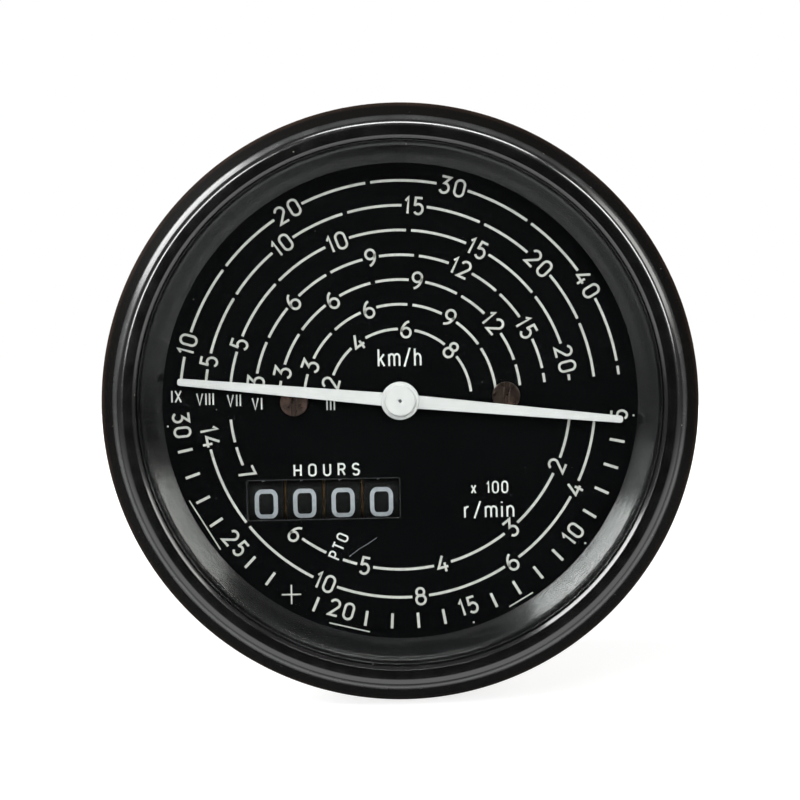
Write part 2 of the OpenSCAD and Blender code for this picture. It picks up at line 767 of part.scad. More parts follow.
module worm_bracket() {
  leg_x = rise_x + bracket_leg;
  half = 2.7;
  tab_z = drum_z + 5.6;
  color("#b7b3a4") place() difference() {
    union() {
      block(leg_x, leg_x + bracket_foot, rise_y - half, rise_y + half, plate_z, plate_z + frame_t);
      block(leg_x, leg_x + frame_t, rise_y - half, rise_y + half, plate_z, tab_z + frame_t);
      block(rise_x, leg_x + frame_t, rise_y - half, rise_y + half, tab_z, tab_z + frame_t);
      translate([rise_x, rise_y, 0]) rod(half, tab_z, tab_z + frame_t);
    }
    translate([rise_x, rise_y, 0]) rod(1 + run_gap, tab_z - 1, tab_z + 3);
    translate([bracket_screw_x, rise_y, 0])
      rod(small_screw_r + screw_gap, plate_z - 1, plate_z + 3);
  }
}

module cheek(x) {
  foot_z = plate_z;
  along_x(x, 0, 0) linear_extrude(frame_t) union() {
    polygon([[-foot_z, drum_y - frame_low], [-foot_z, drum_y + frame_high], [-drum_z, drum_y + 5],
      [-drum_z, drum_y - 5], [-rod_z - 2.6, rod_y - 3.2]]);
    translate([-drum_z, drum_y]) circle(r = 5);
  }
}

module counter_frame() {
  color("#b7b3a4") place() difference() {
    union() {
      block(cheek_left, cheek_right + frame_t, drum_y - frame_low, drum_y + frame_high,
        plate_z, plate_z + frame_t);
      for (x = [cheek_left, cheek_mid, cheek_right]) cheek(x);
    }
    along_x(cheek_left - 1, drum_y, drum_z)
      cylinder(r = axle_r + run_gap, h = cheek_right - cheek_left + frame_t + 2);
    along_x(cheek_left - 1, rod_y, rod_z) cylinder(r = rod_r, h = cheek_mid - cheek_left + frame_t + 2);
    at_places(frame_screw_places) rod(small_screw_r + screw_gap, plate_z - 1, plate_z + 3);
    block(rise_x - 4, rise_x + 4, rise_y - 4, drum_y + frame_high + 0.5, plate_z - 1, plate_z + 3);
  }
}

module counter_axle() {
  color("#8f9296") place() along_x(cheek_left - 1, drum_y, drum_z)
    cylinder(r = axle_r, h = cheek_right - cheek_left + frame_t + 2);
}

module counter_wheel() {
  color("#c2a45a") place() along_x(rise_x, drum_y, drum_z)
    worm_wheel(counter_teeth, counter_module, 3.2, 4, axle_r, 6);
}

// The drum's right side holds the inner gear, its left side the two teeth that carry
module drum(i, bore, has_gear, has_carry) {
  half = drum_w / 2;
  carry_r = inner_gear_r - tooth_in;
  color("#161616") place() along_x(drum_x(i), drum_y, drum_z) difference() {
    rod(drum_r, -half, half);
    rod(bore, -half - 1, half + 1);
    if (has_gear) translate([0, 0, half - recess_deep]) linear_extrude(recess_deep + 1)
      difference() {
        polygon(tooth_outline(drum_teeth, inner_gear_r + tooth_in + 0.1, inner_gear_r - tooth_out,
          0.19, 0.28));
        circle(r = hub_out);
      }
    if (has_carry) translate([0, 0, -half - 1]) linear_extrude(recess_deep + 1) difference() {
      circle(r = inner_gear_r + tooth_in + 0.1);
      circle(r = hub_out);
      for (k = [2, 3]) rotate(k * 360 / drum_teeth + 180 + 45)
        translate([carry_r, -0.5]) square([tooth_in + tooth_out + 1, 1]);
    }
  }
}

module drum_units() { drum(0, axle_r, false, true); }
module drum_tens() { drum(1, axle_r + run_gap, true, true); }
module drum_hundreds() { drum(2, axle_r + run_gap, true, true); }
module drum_thousands() { drum(3, axle_r + run_gap, true, false); }

// Each plate stands in the gap on the right of the drum that its pinion turns
module carrier_plate(i) {
  gap = drum_x(i) + drum_w / 2 + gap_x;
  color("#a5793a") place() along_x(gap, drum_y, drum_z) difference() {
    union() {
      rod(drum_r - 0.15, -carrier_t / 2, carrier_t / 2);
      rotate(-45) block(0, norm([rod_offset, rod_offset]) + rod_r + 0.6, -lug_half, lug_half,
        -carrier_t / 2, carrier_t / 2);
    }
    rod(axle_r + 0.1, -1, 1);
    translate([drum_z - rod_z, rod_y - drum_y, 0]) rod(rod_r + 0.05, -1, 1);
    translate([pinion_reach, 0, 0]) rod(1 + run_gap, -1, 1);
    block(pinion_reach, drum_r + 1, -1 - run_gap, 1 + run_gap, -1, 1);
  }
}

module carrier_plate_tens() { carrier_plate(1); }
module carrier_plate_hundreds() { carrier_plate(2); }
module carrier_plate_thousands() { carrier_plate(3); }

module transfer_pinion(i) {
  gap = drum_x(i) + drum_w / 2 + gap_x;
  reach = recess_deep - 0.4;
  color("#d9d4c2") place() along_x(gap, drum_y, drum_z) translate([pinion_reach, 0, 0]) {
    rod(1, -gap_x - 0.5, gap_x + 0.5);
    for (z = [-gap_x - reach, gap_x + 0.1]) translate([0, 0, z]) linear_extrude(reach - 0.1)
      polygon(tooth_outline(pinion_teeth, pinion_r + tooth_out, pinion_r - tooth_in, 0.12, 0.27));
  }
}

module transfer_pinion_tens() { transfer_pinion(1); }
module transfer_pinion_hundreds() { transfer_pinion(2); }
module transfer_pinion_thousands() { transfer_pinion(3); }

module carrier_rod() {
  color("#8f9296") place() along_x(cheek_left - 0.5, rod_y, rod_z)
    cylinder(r = rod_r, h = cheek_mid - cheek_left + frame_t + 1);
}

module case() {
  inner_r = case_r - case_wall;
  outside = concat([[flange_r, bezel_sheet], [roll_r, bezel_sheet], [case_r, 0]],
    arc(case_r - case_corner, back_z + case_corner, case_corner, case_corner, 0, -90, 8));
  inside = concat(
    arc(case_r - case_corner, back_z + case_corner, case_corner - case_wall,
      case_corner - case_wall, -90, 0, 8),
    [[inner_r, flange_z], [flange_r, flange_z]]);
  color("#a9a48e") place() difference() {
    rotate_extrude() polygon(concat(outside, [[0, back_z], [0, inner_back]], inside));
    rod(boss_r + 0.3, back_z - 1, inner_back + 1);
    at_places(base_screw_places) rod(base_screw_r + screw_gap, back_z - 1, inner_back + 1);
    for (side = [-1, 1]) {
      translate([side * lamp_x, lamp_y, 0]) rod(lamp_d / 2, back_z - 1, inner_back + 1);
      translate([side * stud_x, 0, 0]) rod(stud_d / 2 + stud_play, back_z - 1, inner_back + 1);
    }
  }
}

module lamp_holder(side) {
  sleeve = lamp_d / 2;
  wall = 1.1;
  color("#3b3d3f") place() translate([side * lamp_x, lamp_y, 0]) {
    tube(sleeve, sleeve - wall, back_z - 0.2, back_z + 13);
    rod(sleeve + lamp_rim, back_z - 1.6, back_z);
    rod(sleeve - 0.8, back_z - 6, back_z - 1.5);
    block(-3.15, 3.15, -0.4, 0.4, back_z - 14, back_z - 5);
  }
}

module lamp_holder_left() { lamp_holder(-1); }
module lamp_holder_right() { lamp_holder(1); }

module bulb(side) {
  cap_r = lamp_d / 2 - 1.2;
  glass_bulb_r = lamp_d / 2 - 1.8;
  color("#e6dcc2") place() translate([side * lamp_x, lamp_y, 0]) {
    rod(cap_r, back_z + 0.5, back_z + 11.5);
    rod(glass_bulb_r, back_z + 11, back_z + 19);
    translate([0, 0, back_z + 19]) sphere(r = glass_bulb_r);
  }
}

module bulb_left() { bulb(-1); }
module bulb_right() { bulb(1); }

module mounting_studs() {
  color("#b9b7ad") place() for (side = [-1, 1]) translate([side * stud_x, 0, 0]) difference() {
    union() {
      rod(stud_d / 2, back_z - stud_l, inner_back + eps);
      rod(stud_d / 2 + stud_head, inner_back, inner_back + stud_head_t);
    }
    tube(stud_d / 2 + 1, stud_d / 2 - stud_relief, back_z - relief_l, inner_back);
  }
}

bezel();
glass();
glass_seal();
reflector_ring();
dial_plate();
dial_screws();
dial_pillars();
pointer();
pointer_spindle();
drag_cup();
spring_collet();
hairspring();
regulator_lever();
stop_arm();
stop_pins();
spindle_bridge();
movement_screws();
front_bearing();
main_bearing();
movement_plate();
plate_screws();
frame_pillars();
mechanism_base();
drive_nipple();
base_screws();
drive_shaft();
thrust_washer();
circlip();
front_bush();
rear_bush();
oil_felt();
flux_cup();
magnet();
magnet_hub();
temperature_ring();
cross_shaft();
cross_wheel();
rising_shaft();
rising_wheel();
worm_bracket();
counter_frame();
counter_axle();
counter_wheel();
drum_units();
drum_tens();
drum_hundreds();
drum_thousands();
carrier_plate_tens();
carrier_plate_hundreds();
carrier_plate_thousands();
transfer_pinion_tens();
transfer_pinion_hundreds();
transfer_pinion_thousands();
carrier_rod();
case();
lamp_holder_left();
lamp_holder_right();
bulb_left();
bulb_right();
mounting_studs();
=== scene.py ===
# %% [markdown]
# # A tractor's tachometer with an hour counter
# The CAD model already holds every piece at its size and place, and its joints. This script
# gives the pieces their looks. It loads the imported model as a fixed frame, hangs finer surfaces
# on its bodies, and paints what is left of the CAD with finishes worked out by nodes.
# Everything is in metres in the row frame: the dial faces -Y, up is +Z.

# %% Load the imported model
import json
import math
import bpy
import numpy as np
from mathutils import Matrix, Vector


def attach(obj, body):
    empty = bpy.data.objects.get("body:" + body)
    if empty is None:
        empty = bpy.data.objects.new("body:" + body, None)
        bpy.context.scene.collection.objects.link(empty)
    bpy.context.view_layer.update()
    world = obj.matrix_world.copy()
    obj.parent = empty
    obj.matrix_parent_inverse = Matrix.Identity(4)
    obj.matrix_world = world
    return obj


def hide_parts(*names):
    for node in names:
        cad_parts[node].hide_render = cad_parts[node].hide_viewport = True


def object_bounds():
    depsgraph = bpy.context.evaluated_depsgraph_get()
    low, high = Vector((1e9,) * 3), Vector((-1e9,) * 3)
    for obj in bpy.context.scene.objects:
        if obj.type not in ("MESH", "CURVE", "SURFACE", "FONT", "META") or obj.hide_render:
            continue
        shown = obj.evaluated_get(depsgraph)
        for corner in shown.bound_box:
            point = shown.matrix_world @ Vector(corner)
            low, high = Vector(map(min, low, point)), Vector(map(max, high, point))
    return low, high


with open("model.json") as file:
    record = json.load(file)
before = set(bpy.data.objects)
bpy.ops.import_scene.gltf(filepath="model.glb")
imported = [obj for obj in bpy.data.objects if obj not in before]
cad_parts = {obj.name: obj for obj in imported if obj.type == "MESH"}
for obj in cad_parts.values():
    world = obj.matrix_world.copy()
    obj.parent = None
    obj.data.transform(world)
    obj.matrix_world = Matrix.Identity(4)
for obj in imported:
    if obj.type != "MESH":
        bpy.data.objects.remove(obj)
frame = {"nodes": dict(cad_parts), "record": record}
scene = bpy.context.scene
cad_low, cad_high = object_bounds()
MM = 0.001
print("CAD box in mm:", [round(v / MM, 1) for v in (cad_high - cad_low)])

# %% [markdown]
# ## The camera
# The near rim sits lower in the photograph than the dial behind it, by a quarter of a pixel for
# each millimetre of depth, and yet every circle is round. So the camera stood a little above the
# dial's axis and looked straight along it, and the photograph is the lower part of its view.
# Turning the camera down would spoil the circles, so the lens is shifted, just far enough to
# bring the dial's middle where it stands in the photograph. The distance comes from how much
# larger the near rim looks, and it lets the inside wall of the ring show all round.

# %% Camera
roll = math.radians(1.2)
eye = Vector((3.0, -400.0, 17.5))
dial_middle = Vector((0.0, 2.0, 0.0))
middle_right, middle_up = 0.20 / 800, -0.05 / 800  # in widths of the picture
camera_data = bpy.data.cameras.new("camera")
camera_data.sensor_width = 36.0
camera_data.lens = 96.58
camera_data.clip_start, camera_data.clip_end = 0.01, 50.0
camera = bpy.data.objects.new("camera", camera_data)
camera.location = eye * MM
turn = Matrix.Rotation(math.pi / 2, 3, "X") @ Matrix.Rotation(-roll, 3, "Z")
camera.rotation_euler = turn.to_euler()
seen = turn.transposed() @ (dial_middle - eye)
per_width = camera_data.lens / camera_data.sensor_width / -seen.z
camera_data.shift_x = seen.x * per_width - middle_right
camera_data.shift_y = seen.y * per_width - middle_up
scene.collection.objects.link(camera)
scene.camera = camera
print("camera at", [round(v, 3) for v in camera.location], "shifted by",
      round(camera_data.shift_x, 4), round(camera_data.shift_y, 4))

# %% [markdown]
# ## Light
# Black lacquer shows little of its own colour: what the eye reads is the shape of the lights in
# it. The slope of the ring mirrors what stands about 70 degrees off the line of sight, on the
# far side. So one large soft light at the upper left lights up the slope at the lower right, a
# small weak one beside it softens the end of that patch, and one at the upper right does the
# same for the lower left. Three narrow strips above the camera draw a fine bright line along the
# upper half of the bezel's rounding, where its surface tilts by 10 to 20 degrees. Seen from the
# dial they all give a plain even light. A last one lights the back, for the other views.

# %% Softboxes
def softbox(name, direction, distance, width, height, radiance, tint=(1, 1, 1)):
    """Rectangular light aimed at the instrument. Its power is radiance * pi * area, so that the
    number given here is how bright the light itself looks in a mirror."""
    data = bpy.data.lights.new(name, "AREA")
    data.shape, data.size, data.size_y = "RECTANGLE", width, height
    data.energy, data.color = radiance * math.pi * width * height, tint
    lamp = bpy.data.objects.new(name, data)
    lamp.location = Vector(direction).normalized() * distance
    lamp.rotation_euler = (-lamp.location).to_track_quat("-Z", "Y").to_euler()
    scene.collection.objects.link(lamp)
    return lamp


def strip(name, off_axis, clock, distance, length, width, radiance, tint=(1, 1, 1)):
    """Light that leans off_axis degrees from the line to the camera, towards the clock angle in
    the picture, counted anticlockwise from 3 o'clock. Its length lies across that lean."""
    a, c = math.radians(off_axis), math.radians(clock)
    direction = (math.sin(a) * math.cos(c), -math.cos(a), math.sin(a) * math.sin(c))
    lamp = softbox(name, direction, distance, length, width, radiance, tint)
    toward = -lamp.location.normalized()
    across = Vector((-math.sin(c), 0, math.cos(c)))
    lamp.rotation_euler = Matrix((across, across.cross(toward), -toward)).transposed().to_euler()


strip("light_upper_left", 85, 140, 0.80, 0.46, 0.74, 7.0)
strip("light_left", 68, 162, 0.85, 0.30, 0.30, 0.9)
strip("light_upper_right", 70, 28, 0.90, 0.42, 0.52, 3.6, (1, 0.98, 0.95))
strip("strip_left", 25, 147, 0.75, 0.28, 0.085, 12.5)
strip("strip_middle", 41, 84, 0.75, 0.44, 0.085, 14.0)
strip("strip_right", 34, 30, 0.75, 0.32, 0.085, 12.5)
softbox("light_back", (0.1, 1.0, 0.12), 1.10, 0.70, 0.70, 3.0)

# %% [markdown]
# ## The world
# The background is white to the camera. A glass front would mirror a white room and turn the
# dial grey, so what glossy surfaces see depends on the direction: dark on the reader's side,
# where a photographer hangs black cloth, dim above, and pale below and to both sides, where the
# table is.

# %% World
def add_node(tree, kind, **values):
    """A node with its properties and its inputs set by name."""
    node = tree.nodes.new(kind)
    for key, value in values.items():
        if hasattr(node, key):
            setattr(node, key, value)
        else:
            node.inputs[key.replace("_", " ")].default_value = value
    return node


def fill(tree, node, *values):
    """Links or sets a node's inputs, in order, and gives its first output."""
    for value, socket in zip(values, node.inputs):
        if isinstance(value, bpy.types.NodeSocket):
            tree.links.new(value, socket)
        else:
            socket.default_value = value
    return node.outputs[0]


def calculate(tree, operation, *values, clamp=False):
    """A Math node on sockets or plain numbers."""
    node = add_node(tree, "ShaderNodeMath", operation=operation, use_clamp=clamp)
    return fill(tree, node, *values)


def spread(tree, source, low, high, start=0.3, end=0.7, smooth=False):
    """Takes a value from start..end to low..high."""
    node = add_node(tree, "ShaderNodeMapRange",
                    interpolation_type="SMOOTHSTEP" if smooth else "LINEAR")
    return fill(tree, node, source, start, end, low, high)


def object_place(tree):
    """Place on the piece, in metres: Object coordinates."""
    return add_node(tree, "ShaderNodeTexCoord").outputs["Object"]


def world_light():
    """For glossy rays and rays through glass the share of white is front * behind * (ring +
    (table - ring) * keep), from the direction (X, Y, Z). table is 0.16 above and 1 below. ring,
    0.015 + below * (0.03 + 0.8 |X|) with below = max(-Z, 0), is what the sloped ring sees, in a
    band of Y where keep is 0. front is nearly 0 towards the reader, and behind falls from 1 to
    0.02 beyond the dial's plane."""
    world = bpy.data.worlds.new("studio")
    scene.world = world
    world.use_nodes = True
    tree = world.node_tree
    tree.nodes.clear()
    path = add_node(tree, "ShaderNodeLightPath")
    split = add_node(tree, "ShaderNodeSeparateXYZ")
    fill(tree, split, add_node(tree, "ShaderNodeTexCoord").outputs["Generated"])
    x, y, z = split.outputs
    side = calculate(tree, "ABSOLUTE", x)
    below = calculate(tree, "MAXIMUM", calculate(tree, "MULTIPLY", z, -1.0), 0.0)
    table = spread(tree, below, 0.16, 1.0, 0.05, 0.30, smooth=True)
    ring_part = calculate(tree, "MULTIPLY_ADD", below,
                          calculate(tree, "MULTIPLY_ADD", side, 0.80, 0.03), 0.015)
    keep = calculate(tree, "MAXIMUM", spread(tree, y, 1, 0, -0.60, -0.46, smooth=True),
                     spread(tree, y, 0, 1, -0.24, -0.12, smooth=True))
    room = calculate(tree, "MULTIPLY_ADD", calculate(tree, "SUBTRACT", table, ring_part), keep,
                     ring_part)
    front = spread(tree, y, 0.005, 1.0, -0.982, -0.93, smooth=True)
    behind = spread(tree, y, 1.0, 0.02, 0.05, 0.45, smooth=True)
    room = calculate(tree, "MULTIPLY", calculate(tree, "MULTIPLY", room, front), behind)
    bounced = calculate(tree, "MAXIMUM", path.outputs["Is Glossy Ray"],
                        path.outputs["Is Transmission Ray"])
    camera_ray = path.outputs["Is Camera Ray"]
    strength = calculate(tree, "ADD", calculate(tree, "MULTIPLY", room, bounced), camera_ray,
                         clamp=True)
    special = calculate(tree, "MAXIMUM", bounced, camera_ray)
    soft = add_node(tree, "ShaderNodeBackground", Color=(0.9, 0.95, 1.0, 1.0), Strength=0.12)
    shown = fill(tree, add_node(tree, "ShaderNodeBackground"), (1, 1, 1, 1), strength)
    mix = fill(tree, add_node(tree, "ShaderNodeMixShader"), special, soft.outputs[0], shown)
    tree.links.new(mix, add_node(tree, "ShaderNodeOutputWorld").inputs["Surface"])


world_light()
scene.view_settings.view_transform = "Standard"
print("world:", scene.world.name)

# %% [markdown]
# ## The floor
# A white table could just be a lit white plane, but it would have to be lit much more strongly
# than the dial. So this plane glows for the camera only, near the instrument not quite white, so
# that it still shows the shadow, and further off fully white, like a backdrop.

# %% Floor
def floor_piece():
    """Square of 6 m under the rim. Its shade = grey diffuse + a glow that only the camera
    sees, 0.78 near the instrument and 1 from half a metre on."""
    half, level = 3.0, cad_low.z - 0.0003
    mesh = bpy.data.meshes.new("floor")
    mesh.from_pydata([(-half, -half, level), (half, -half, level), (half, half, level),
                      (-half, half, level)], [], [(0, 1, 2, 3)])
    material = bpy.data.materials.new("floor_white")
    material.use_nodes = True
    tree = material.node_tree
    tree.nodes.clear()
    path = add_node(tree, "ShaderNodeLightPath")
    far = add_node(tree, "ShaderNodeVectorMath", operation="LENGTH")
    fill(tree, far, object_place(tree))
    level_far = spread(tree, far.outputs["Value"], 0.78, 1.0, 0.15, 0.50, smooth=True)
    glow = fill(tree, add_node(tree, "ShaderNodeEmission"), (1, 1, 1, 1),
                calculate(tree, "MULTIPLY", level_far, path.outputs["Is Camera Ray"]))
    matt = add_node(tree, "ShaderNodeBsdfDiffuse", Color=(0.45, 0.45, 0.45, 1))
    both = fill(tree, add_node(tree, "ShaderNodeAddShader"), glow, matt.outputs[0])
    tree.links.new(both, add_node(tree, "ShaderNodeOutputMaterial").inputs["Surface"])
    mesh.materials.append(material)
    floor = bpy.data.objects.new("floor", mesh)
    scene.collection.objects.link(floor)
    floor.visible_glossy = floor.visible_transmission = False


floor_piece()

# %% [markdown]
# ## Finishes
# Each finish is one small node tree. A slow noise varies the colour a little, a second one the
# roughness, and a fine one raises the surface, each at the size it has on the real thing. Turned
# and spun pieces get rings round the dial's axis in place of the fine noise. All of it reads
# Object coordinates, in metres, so a scale of 1000 means marks about a millimetre apart.

# %% A finish from noise
finishes = {}


def new_material(name):
    """Adds a material to the finishes, and gives its node tree and its Principled shader."""
    material = finishes[name] = bpy.data.materials.new(name)
    material.use_nodes = True
    return material.node_tree, material.node_tree.nodes["Principled BSDF"]


def noise(tree, scale, detail=3.0):
    """Noise of so many waves to the metre."""
    wave = add_node(tree, "ShaderNodeTexNoise", Scale=scale, Detail=detail)
    return fill(tree, wave, object_place(tree))


def mixed(tree, amount, first, second):
    """Colour between first and second. Each is a socket or three numbers."""
    node = add_node(tree, "ShaderNodeMix", data_type="RGBA")
    tree.links.new(amount, node.inputs[0])
    for value, socket in ((first, node.inputs[6]), (second, node.inputs[7])):
        if isinstance(value, bpy.types.NodeSocket):
            tree.links.new(value, socket)
        else:
            socket.default_value = (*value, 1)
    return node.outputs[2]


def finish(name, colour, rough, metallic=0.0, vary=0.12, rough_vary=0.06, scale=250.0,
           fine=2500.0, height=0.004, rings=0.0, **inputs):
    """A finish: colour * (1 -+ vary) and rough -+ rough_vary by slow noise, and a surface
    raised by height mm, by noise of so many waves to the metre or by rings of pitch mm. The
    shader's other inputs are set by name. Gives the node tree."""
    tree, shader = new_material(name)
    for key, value in {"Metallic": metallic, **inputs}.items():
        shader.inputs[key.replace("_", " ")].default_value = value
    slow = noise(tree, scale)
    dark, light = [tuple(c * (1 + s * vary) for c in colour) for s in (-1, 1)]
    tint = mixed(tree, spread(tree, slow, 0, 1), dark, light)
    tree.links.new(tint, shader.inputs["Base Color"])
    tree.links.new(spread(tree, noise(tree, scale * 2.7), rough - rough_vary, rough + rough_vary),
                   shader.inputs["Roughness"])
    bump = add_node(tree, "ShaderNodeBump", Strength=1.0, Distance=height * MM)
    if rings:
        wave = add_node(tree, "ShaderNodeTexWave", wave_type="RINGS", rings_direction="Y",
                        Scale=2 * math.pi / (20 * rings * MM), Distortion=1.2, Detail=2.0)
        fill(tree, wave, object_place(tree))
        tree.links.new(wave.outputs["Fac"], bump.inputs["Height"])
    else:
        tree.links.new(noise(tree, fine, 4.0), bump.inputs["Height"])
    tree.links.new(bump.outputs[0], shader.inputs["Normal"])
    return tree


finish("steel", (0.45, 0.46, 0.47), 0.28, 1.0, height=0.002)
finish("plated_steel", (0.50, 0.48, 0.42), 0.36, 1.0, 0.04, 0.03, 45, 1500, 0.0012)
finish("brass", (0.60, 0.43, 0.20), 0.30, 1.0, 0.05, 0.04, rings=0.18, height=0.002)
finish("bronze", (0.50, 0.28, 0.13), 0.42, 1.0, fine=9000, height=0.006)
finish("cast_alloy", (0.50, 0.51, 0.50), 0.52, 1.0, 0.10, 0.08, 160, 1600, 0.03)
finish("drag_alloy", (0.66, 0.67, 0.67), 0.30, 1.0, rings=0.25, height=0.003)
finish("rubber", (0.03, 0.028, 0.025), 0.75, fine=4000, height=0.02)
# a much darker brass, for the plates between the counter's drums
finish("darkened_brass", (0.045, 0.028, 0.013), 0.35, 1.0, 0.35, 0.10, 900, 5000, 0.01)
finish("drum_black", (0.0035, 0.0035, 0.0036), 0.55, vary=0.2, fine=6000, Specular_IOR_Level=0.10)
finish("pinion_plastic", (0.66, 0.63, 0.54), 0.45, fine=3000, height=0.005,
       Subsurface_Weight=0.15, Subsurface_Scale=0.001)
finish("magnet_alloy", (0.08, 0.08, 0.085), 0.5, 0.7, fine=5000, height=0.02)
finish("felt", (0.25, 0.20, 0.14), 0.95, vary=0.35, scale=1500, fine=7000, height=0.15,
       Sheen_Weight=0.4)
finish("moulding_black", (0.03, 0.03, 0.032), 0.38, fine=2200, height=0.012)
finish("print_white", (0.52, 0.515, 0.485), 0.6, vary=0.10, scale=1500, fine=9000,
       Specular_IOR_Level=0.2)
finish("label_white", (0.68, 0.68, 0.66), 0.6, vary=0.06, scale=1500, fine=9000,
       Specular_IOR_Level=0.2)
finish("figure_pale", (0.32, 0.34, 0.37), 0.55, vary=0.10, scale=900, fine=7000, height=0.006,
       Specular_IOR_Level=0.3)
# a faint lighter colour, used for the painted highlight round the counter's window
finish("faint_painted_highlight", (0.018, 0.018, 0.019), 0.6, vary=0.3, scale=900, Specular_IOR_Level=0.2)
print(len(finishes), "finishes from noise")

# %% [markdown]
# ## Lacquer, dial paint and burnished screws
# The bezel and the ring are lacquered sheet. Their gloss is broken by the very shallow waves of
# sprayed lacquer and by settled dust: scattered cells of a Voronoi texture give each speck its
# place, and a second output of the same cells keeps only a few. A dull grey band on the bezel's
# rounding is partly worn by rubbing and partly a painted reflection of the pale table below. At
# the outermost edge the colour turns brown: partly a reddish undercoat where the lacquer is worn
# down, partly a painted reflection of a brown table. The dial is matt, and nearly without shine,
# so that its black stays black under strong light from the side. The pointer is white, with
# painted shade inside the small hole at its middle, and the screws are steel turned brown by heat.

# %% Lacquer, dial and screw finishes
def specks(tree, per_metre, radius, share):
    """1 inside small dots, 0 elsewhere: the distance to the nearest cell point under radius
    (in cells), where the cell's own random number lies in the lowest share."""
    cells = add_node(tree, "ShaderNodeTexVoronoi", Scale=per_metre)
    distance = fill(tree, cells, object_place(tree))
    pick = fill(tree, add_node(tree, "ShaderNodeSeparateColor"), cells.outputs["Color"])
    return calculate(tree, "MULTIPLY", calculate(tree, "LESS_THAN", distance, radius),
                     calculate(tree, "LESS_THAN", pick, share))


def add_to_colour(tree, amount, colour, rough=None):
    """Lays a second colour over a finish where amount is 1, and its roughness too."""
    shader = tree.nodes["Principled BSDF"]
    under = shader.inputs["Base Color"].links[0].from_socket
    tree.links.new(mixed(tree, amount, under, colour), shader.inputs["Base Color"])
    if rough is not None:
        under = shader.inputs["Roughness"].links[0].from_socket
        tree.links.new(spread(tree, amount, under, rough, 0, 1), shader.inputs["Roughness"])


def by_radius(tree, start, end):
    """0 up to the distance start (mm) from the dial's axis, 1 from end on."""
    flat = add_node(tree, "ShaderNodeVectorMath", operation="MULTIPLY")
    length = add_node(tree, "ShaderNodeVectorMath", operation="LENGTH")
    fill(tree, length, fill(tree, flat, object_place(tree), (1, 0, 1)))
    return spread(tree, length.outputs["Value"], 0, 1, start * MM, end * MM)


def bored_white():
    """The pointer's paint, with painted shade: dark inside the small hole at its middle."""
    tree = finish("pointer_white", (0.59, 0.585, 0.585), 0.42, vary=0.03, scale=600, fine=5000,
                  height=0.005)
    # painted shade: the pointer's paint turns dark inside the small hole at its middle
    painted_bore_shade = calculate(tree, "SUBTRACT", 1.0, by_radius(tree, 0.29, 0.34))
    add_to_colour(tree, painted_bore_shade, (0.004, 0.004, 0.004))


def worn_lacquer():
    """Gloss black. A dull grey band between two radii on the rounding: partly lacquer worn dull by
    rubbing, partly a painted reflection of the pale table below. A duller flank outside it turns
    brown at the very edge: partly undercoat where the lacquer is worn down, partly a painted
    reflection of a brown table. Slow noise breaks up the grey and the brown."""
    tree = finish("black_lacquer", (0.0042, 0.0042, 0.0042), 0.15, vary=0.3, rough_vary=0.03,
                  scale=120, fine=300, height=0.003, IOR=2.0)
    flank = by_radius(tree, 52.6, 52.75)
    add_to_colour(tree, flank, (0.0085, 0.0080, 0.0075), 0.20)
    # painted reflection: a dull grey band on the rounding, part rubbing wear, part the pale table
    # mirrored there
    rubbed_and_painted_reflection = calculate(tree, "MULTIPLY", by_radius(tree, 51.60, 51.85),
                       calculate(tree, "SUBTRACT", 1.0, flank))
    rubbed_and_painted_reflection = calculate(tree, "MULTIPLY", rubbed_and_painted_reflection, spread(tree, noise(tree, 220), 0.5, 1.0))
    add_to_colour(tree, rubbed_and_painted_reflection, (0.056, 0.058, 0.057), 0.30)
    # painted reflection: brown at the outermost edge, part undercoat showing, part a brown table
    # mirrored there
    thin_and_painted_brown_reflection = calculate(tree, "MULTIPLY", by_radius(tree, 54.5, 55.4),
                     spread(tree, noise(tree, 160), 0.35, 1.0))
    add_to_colour(tree, thin_and_painted_brown_reflection, (0.055, 0.034, 0.025))
    add_to_colour(tree, specks(tree, 700, 0.07, 0.10), (0.30, 0.28, 0.25), 0.8)


bored_white()
worn_lacquer()
ring = finish("ring_lacquer", (0.0025, 0.0025, 0.0028), 0.17, vary=0.25, rough_vary=0.02,
              scale=70, fine=400, height=0.0008, IOR=1.9)
add_to_colour(ring, specks(ring, 500, 0.06, 0.06), (0.20, 0.19, 0.18), 0.8)
dial = finish("dial_black", (0.0012, 0.0014, 0.0016), 0.5, vary=0.25, rough_vary=0.05, scale=60,
              fine=6000, height=0.003, Specular_IOR_Level=0.03)
add_to_colour(dial, specks(dial, 260, 0.035, 0.10), (0.12, 0.12, 0.11))
burnt = finish("burnished_screw", (0.085, 0.060, 0.050), 0.30, 1.0, 0.3, 0.05, 300, 1200, 0.008)
add_to_colour(burnt, spread(burnt, noise(burnt, 350), 0, 1, 0.50, 0.75), (0.24, 0.15, 0.125))
print("lacquer, dial and screw finishes made")

# %% [markdown]
# ## Glass
# A light's shadow rays stop at refracting glass, and the dial would stay dark behind it. So the
# glass lets shadow rays through and bends all others. The bulbs have the same glass.

# %% Glass finish
def glass_finish(name, tint, rough):
    """Clear glass for every ray but those that look for a light, which pass straight on."""
    tree, shader = new_material(name)
    shader.inputs["Transmission Weight"].default_value = 1.0
    shader.inputs["IOR"].default_value = 1.5
    shader.inputs["Base Color"].default_value = (*tint, 1)
    tree.links.new(spread(tree, noise(tree, 40), rough, rough + 0.02), shader.inputs["Roughness"])
    shadow = add_node(tree, "ShaderNodeLightPath").outputs["Is Shadow Ray"]
    clear = add_node(tree, "ShaderNodeBsdfTransparent", Color=(0.96, 0.98, 0.97, 1))
    mix = fill(tree, add_node(tree, "ShaderNodeMixShader"), shadow, shader.outputs[0],
               clear.outputs[0])
    tree.links.new(mix, tree.nodes["Material Output"].inputs["Surface"])


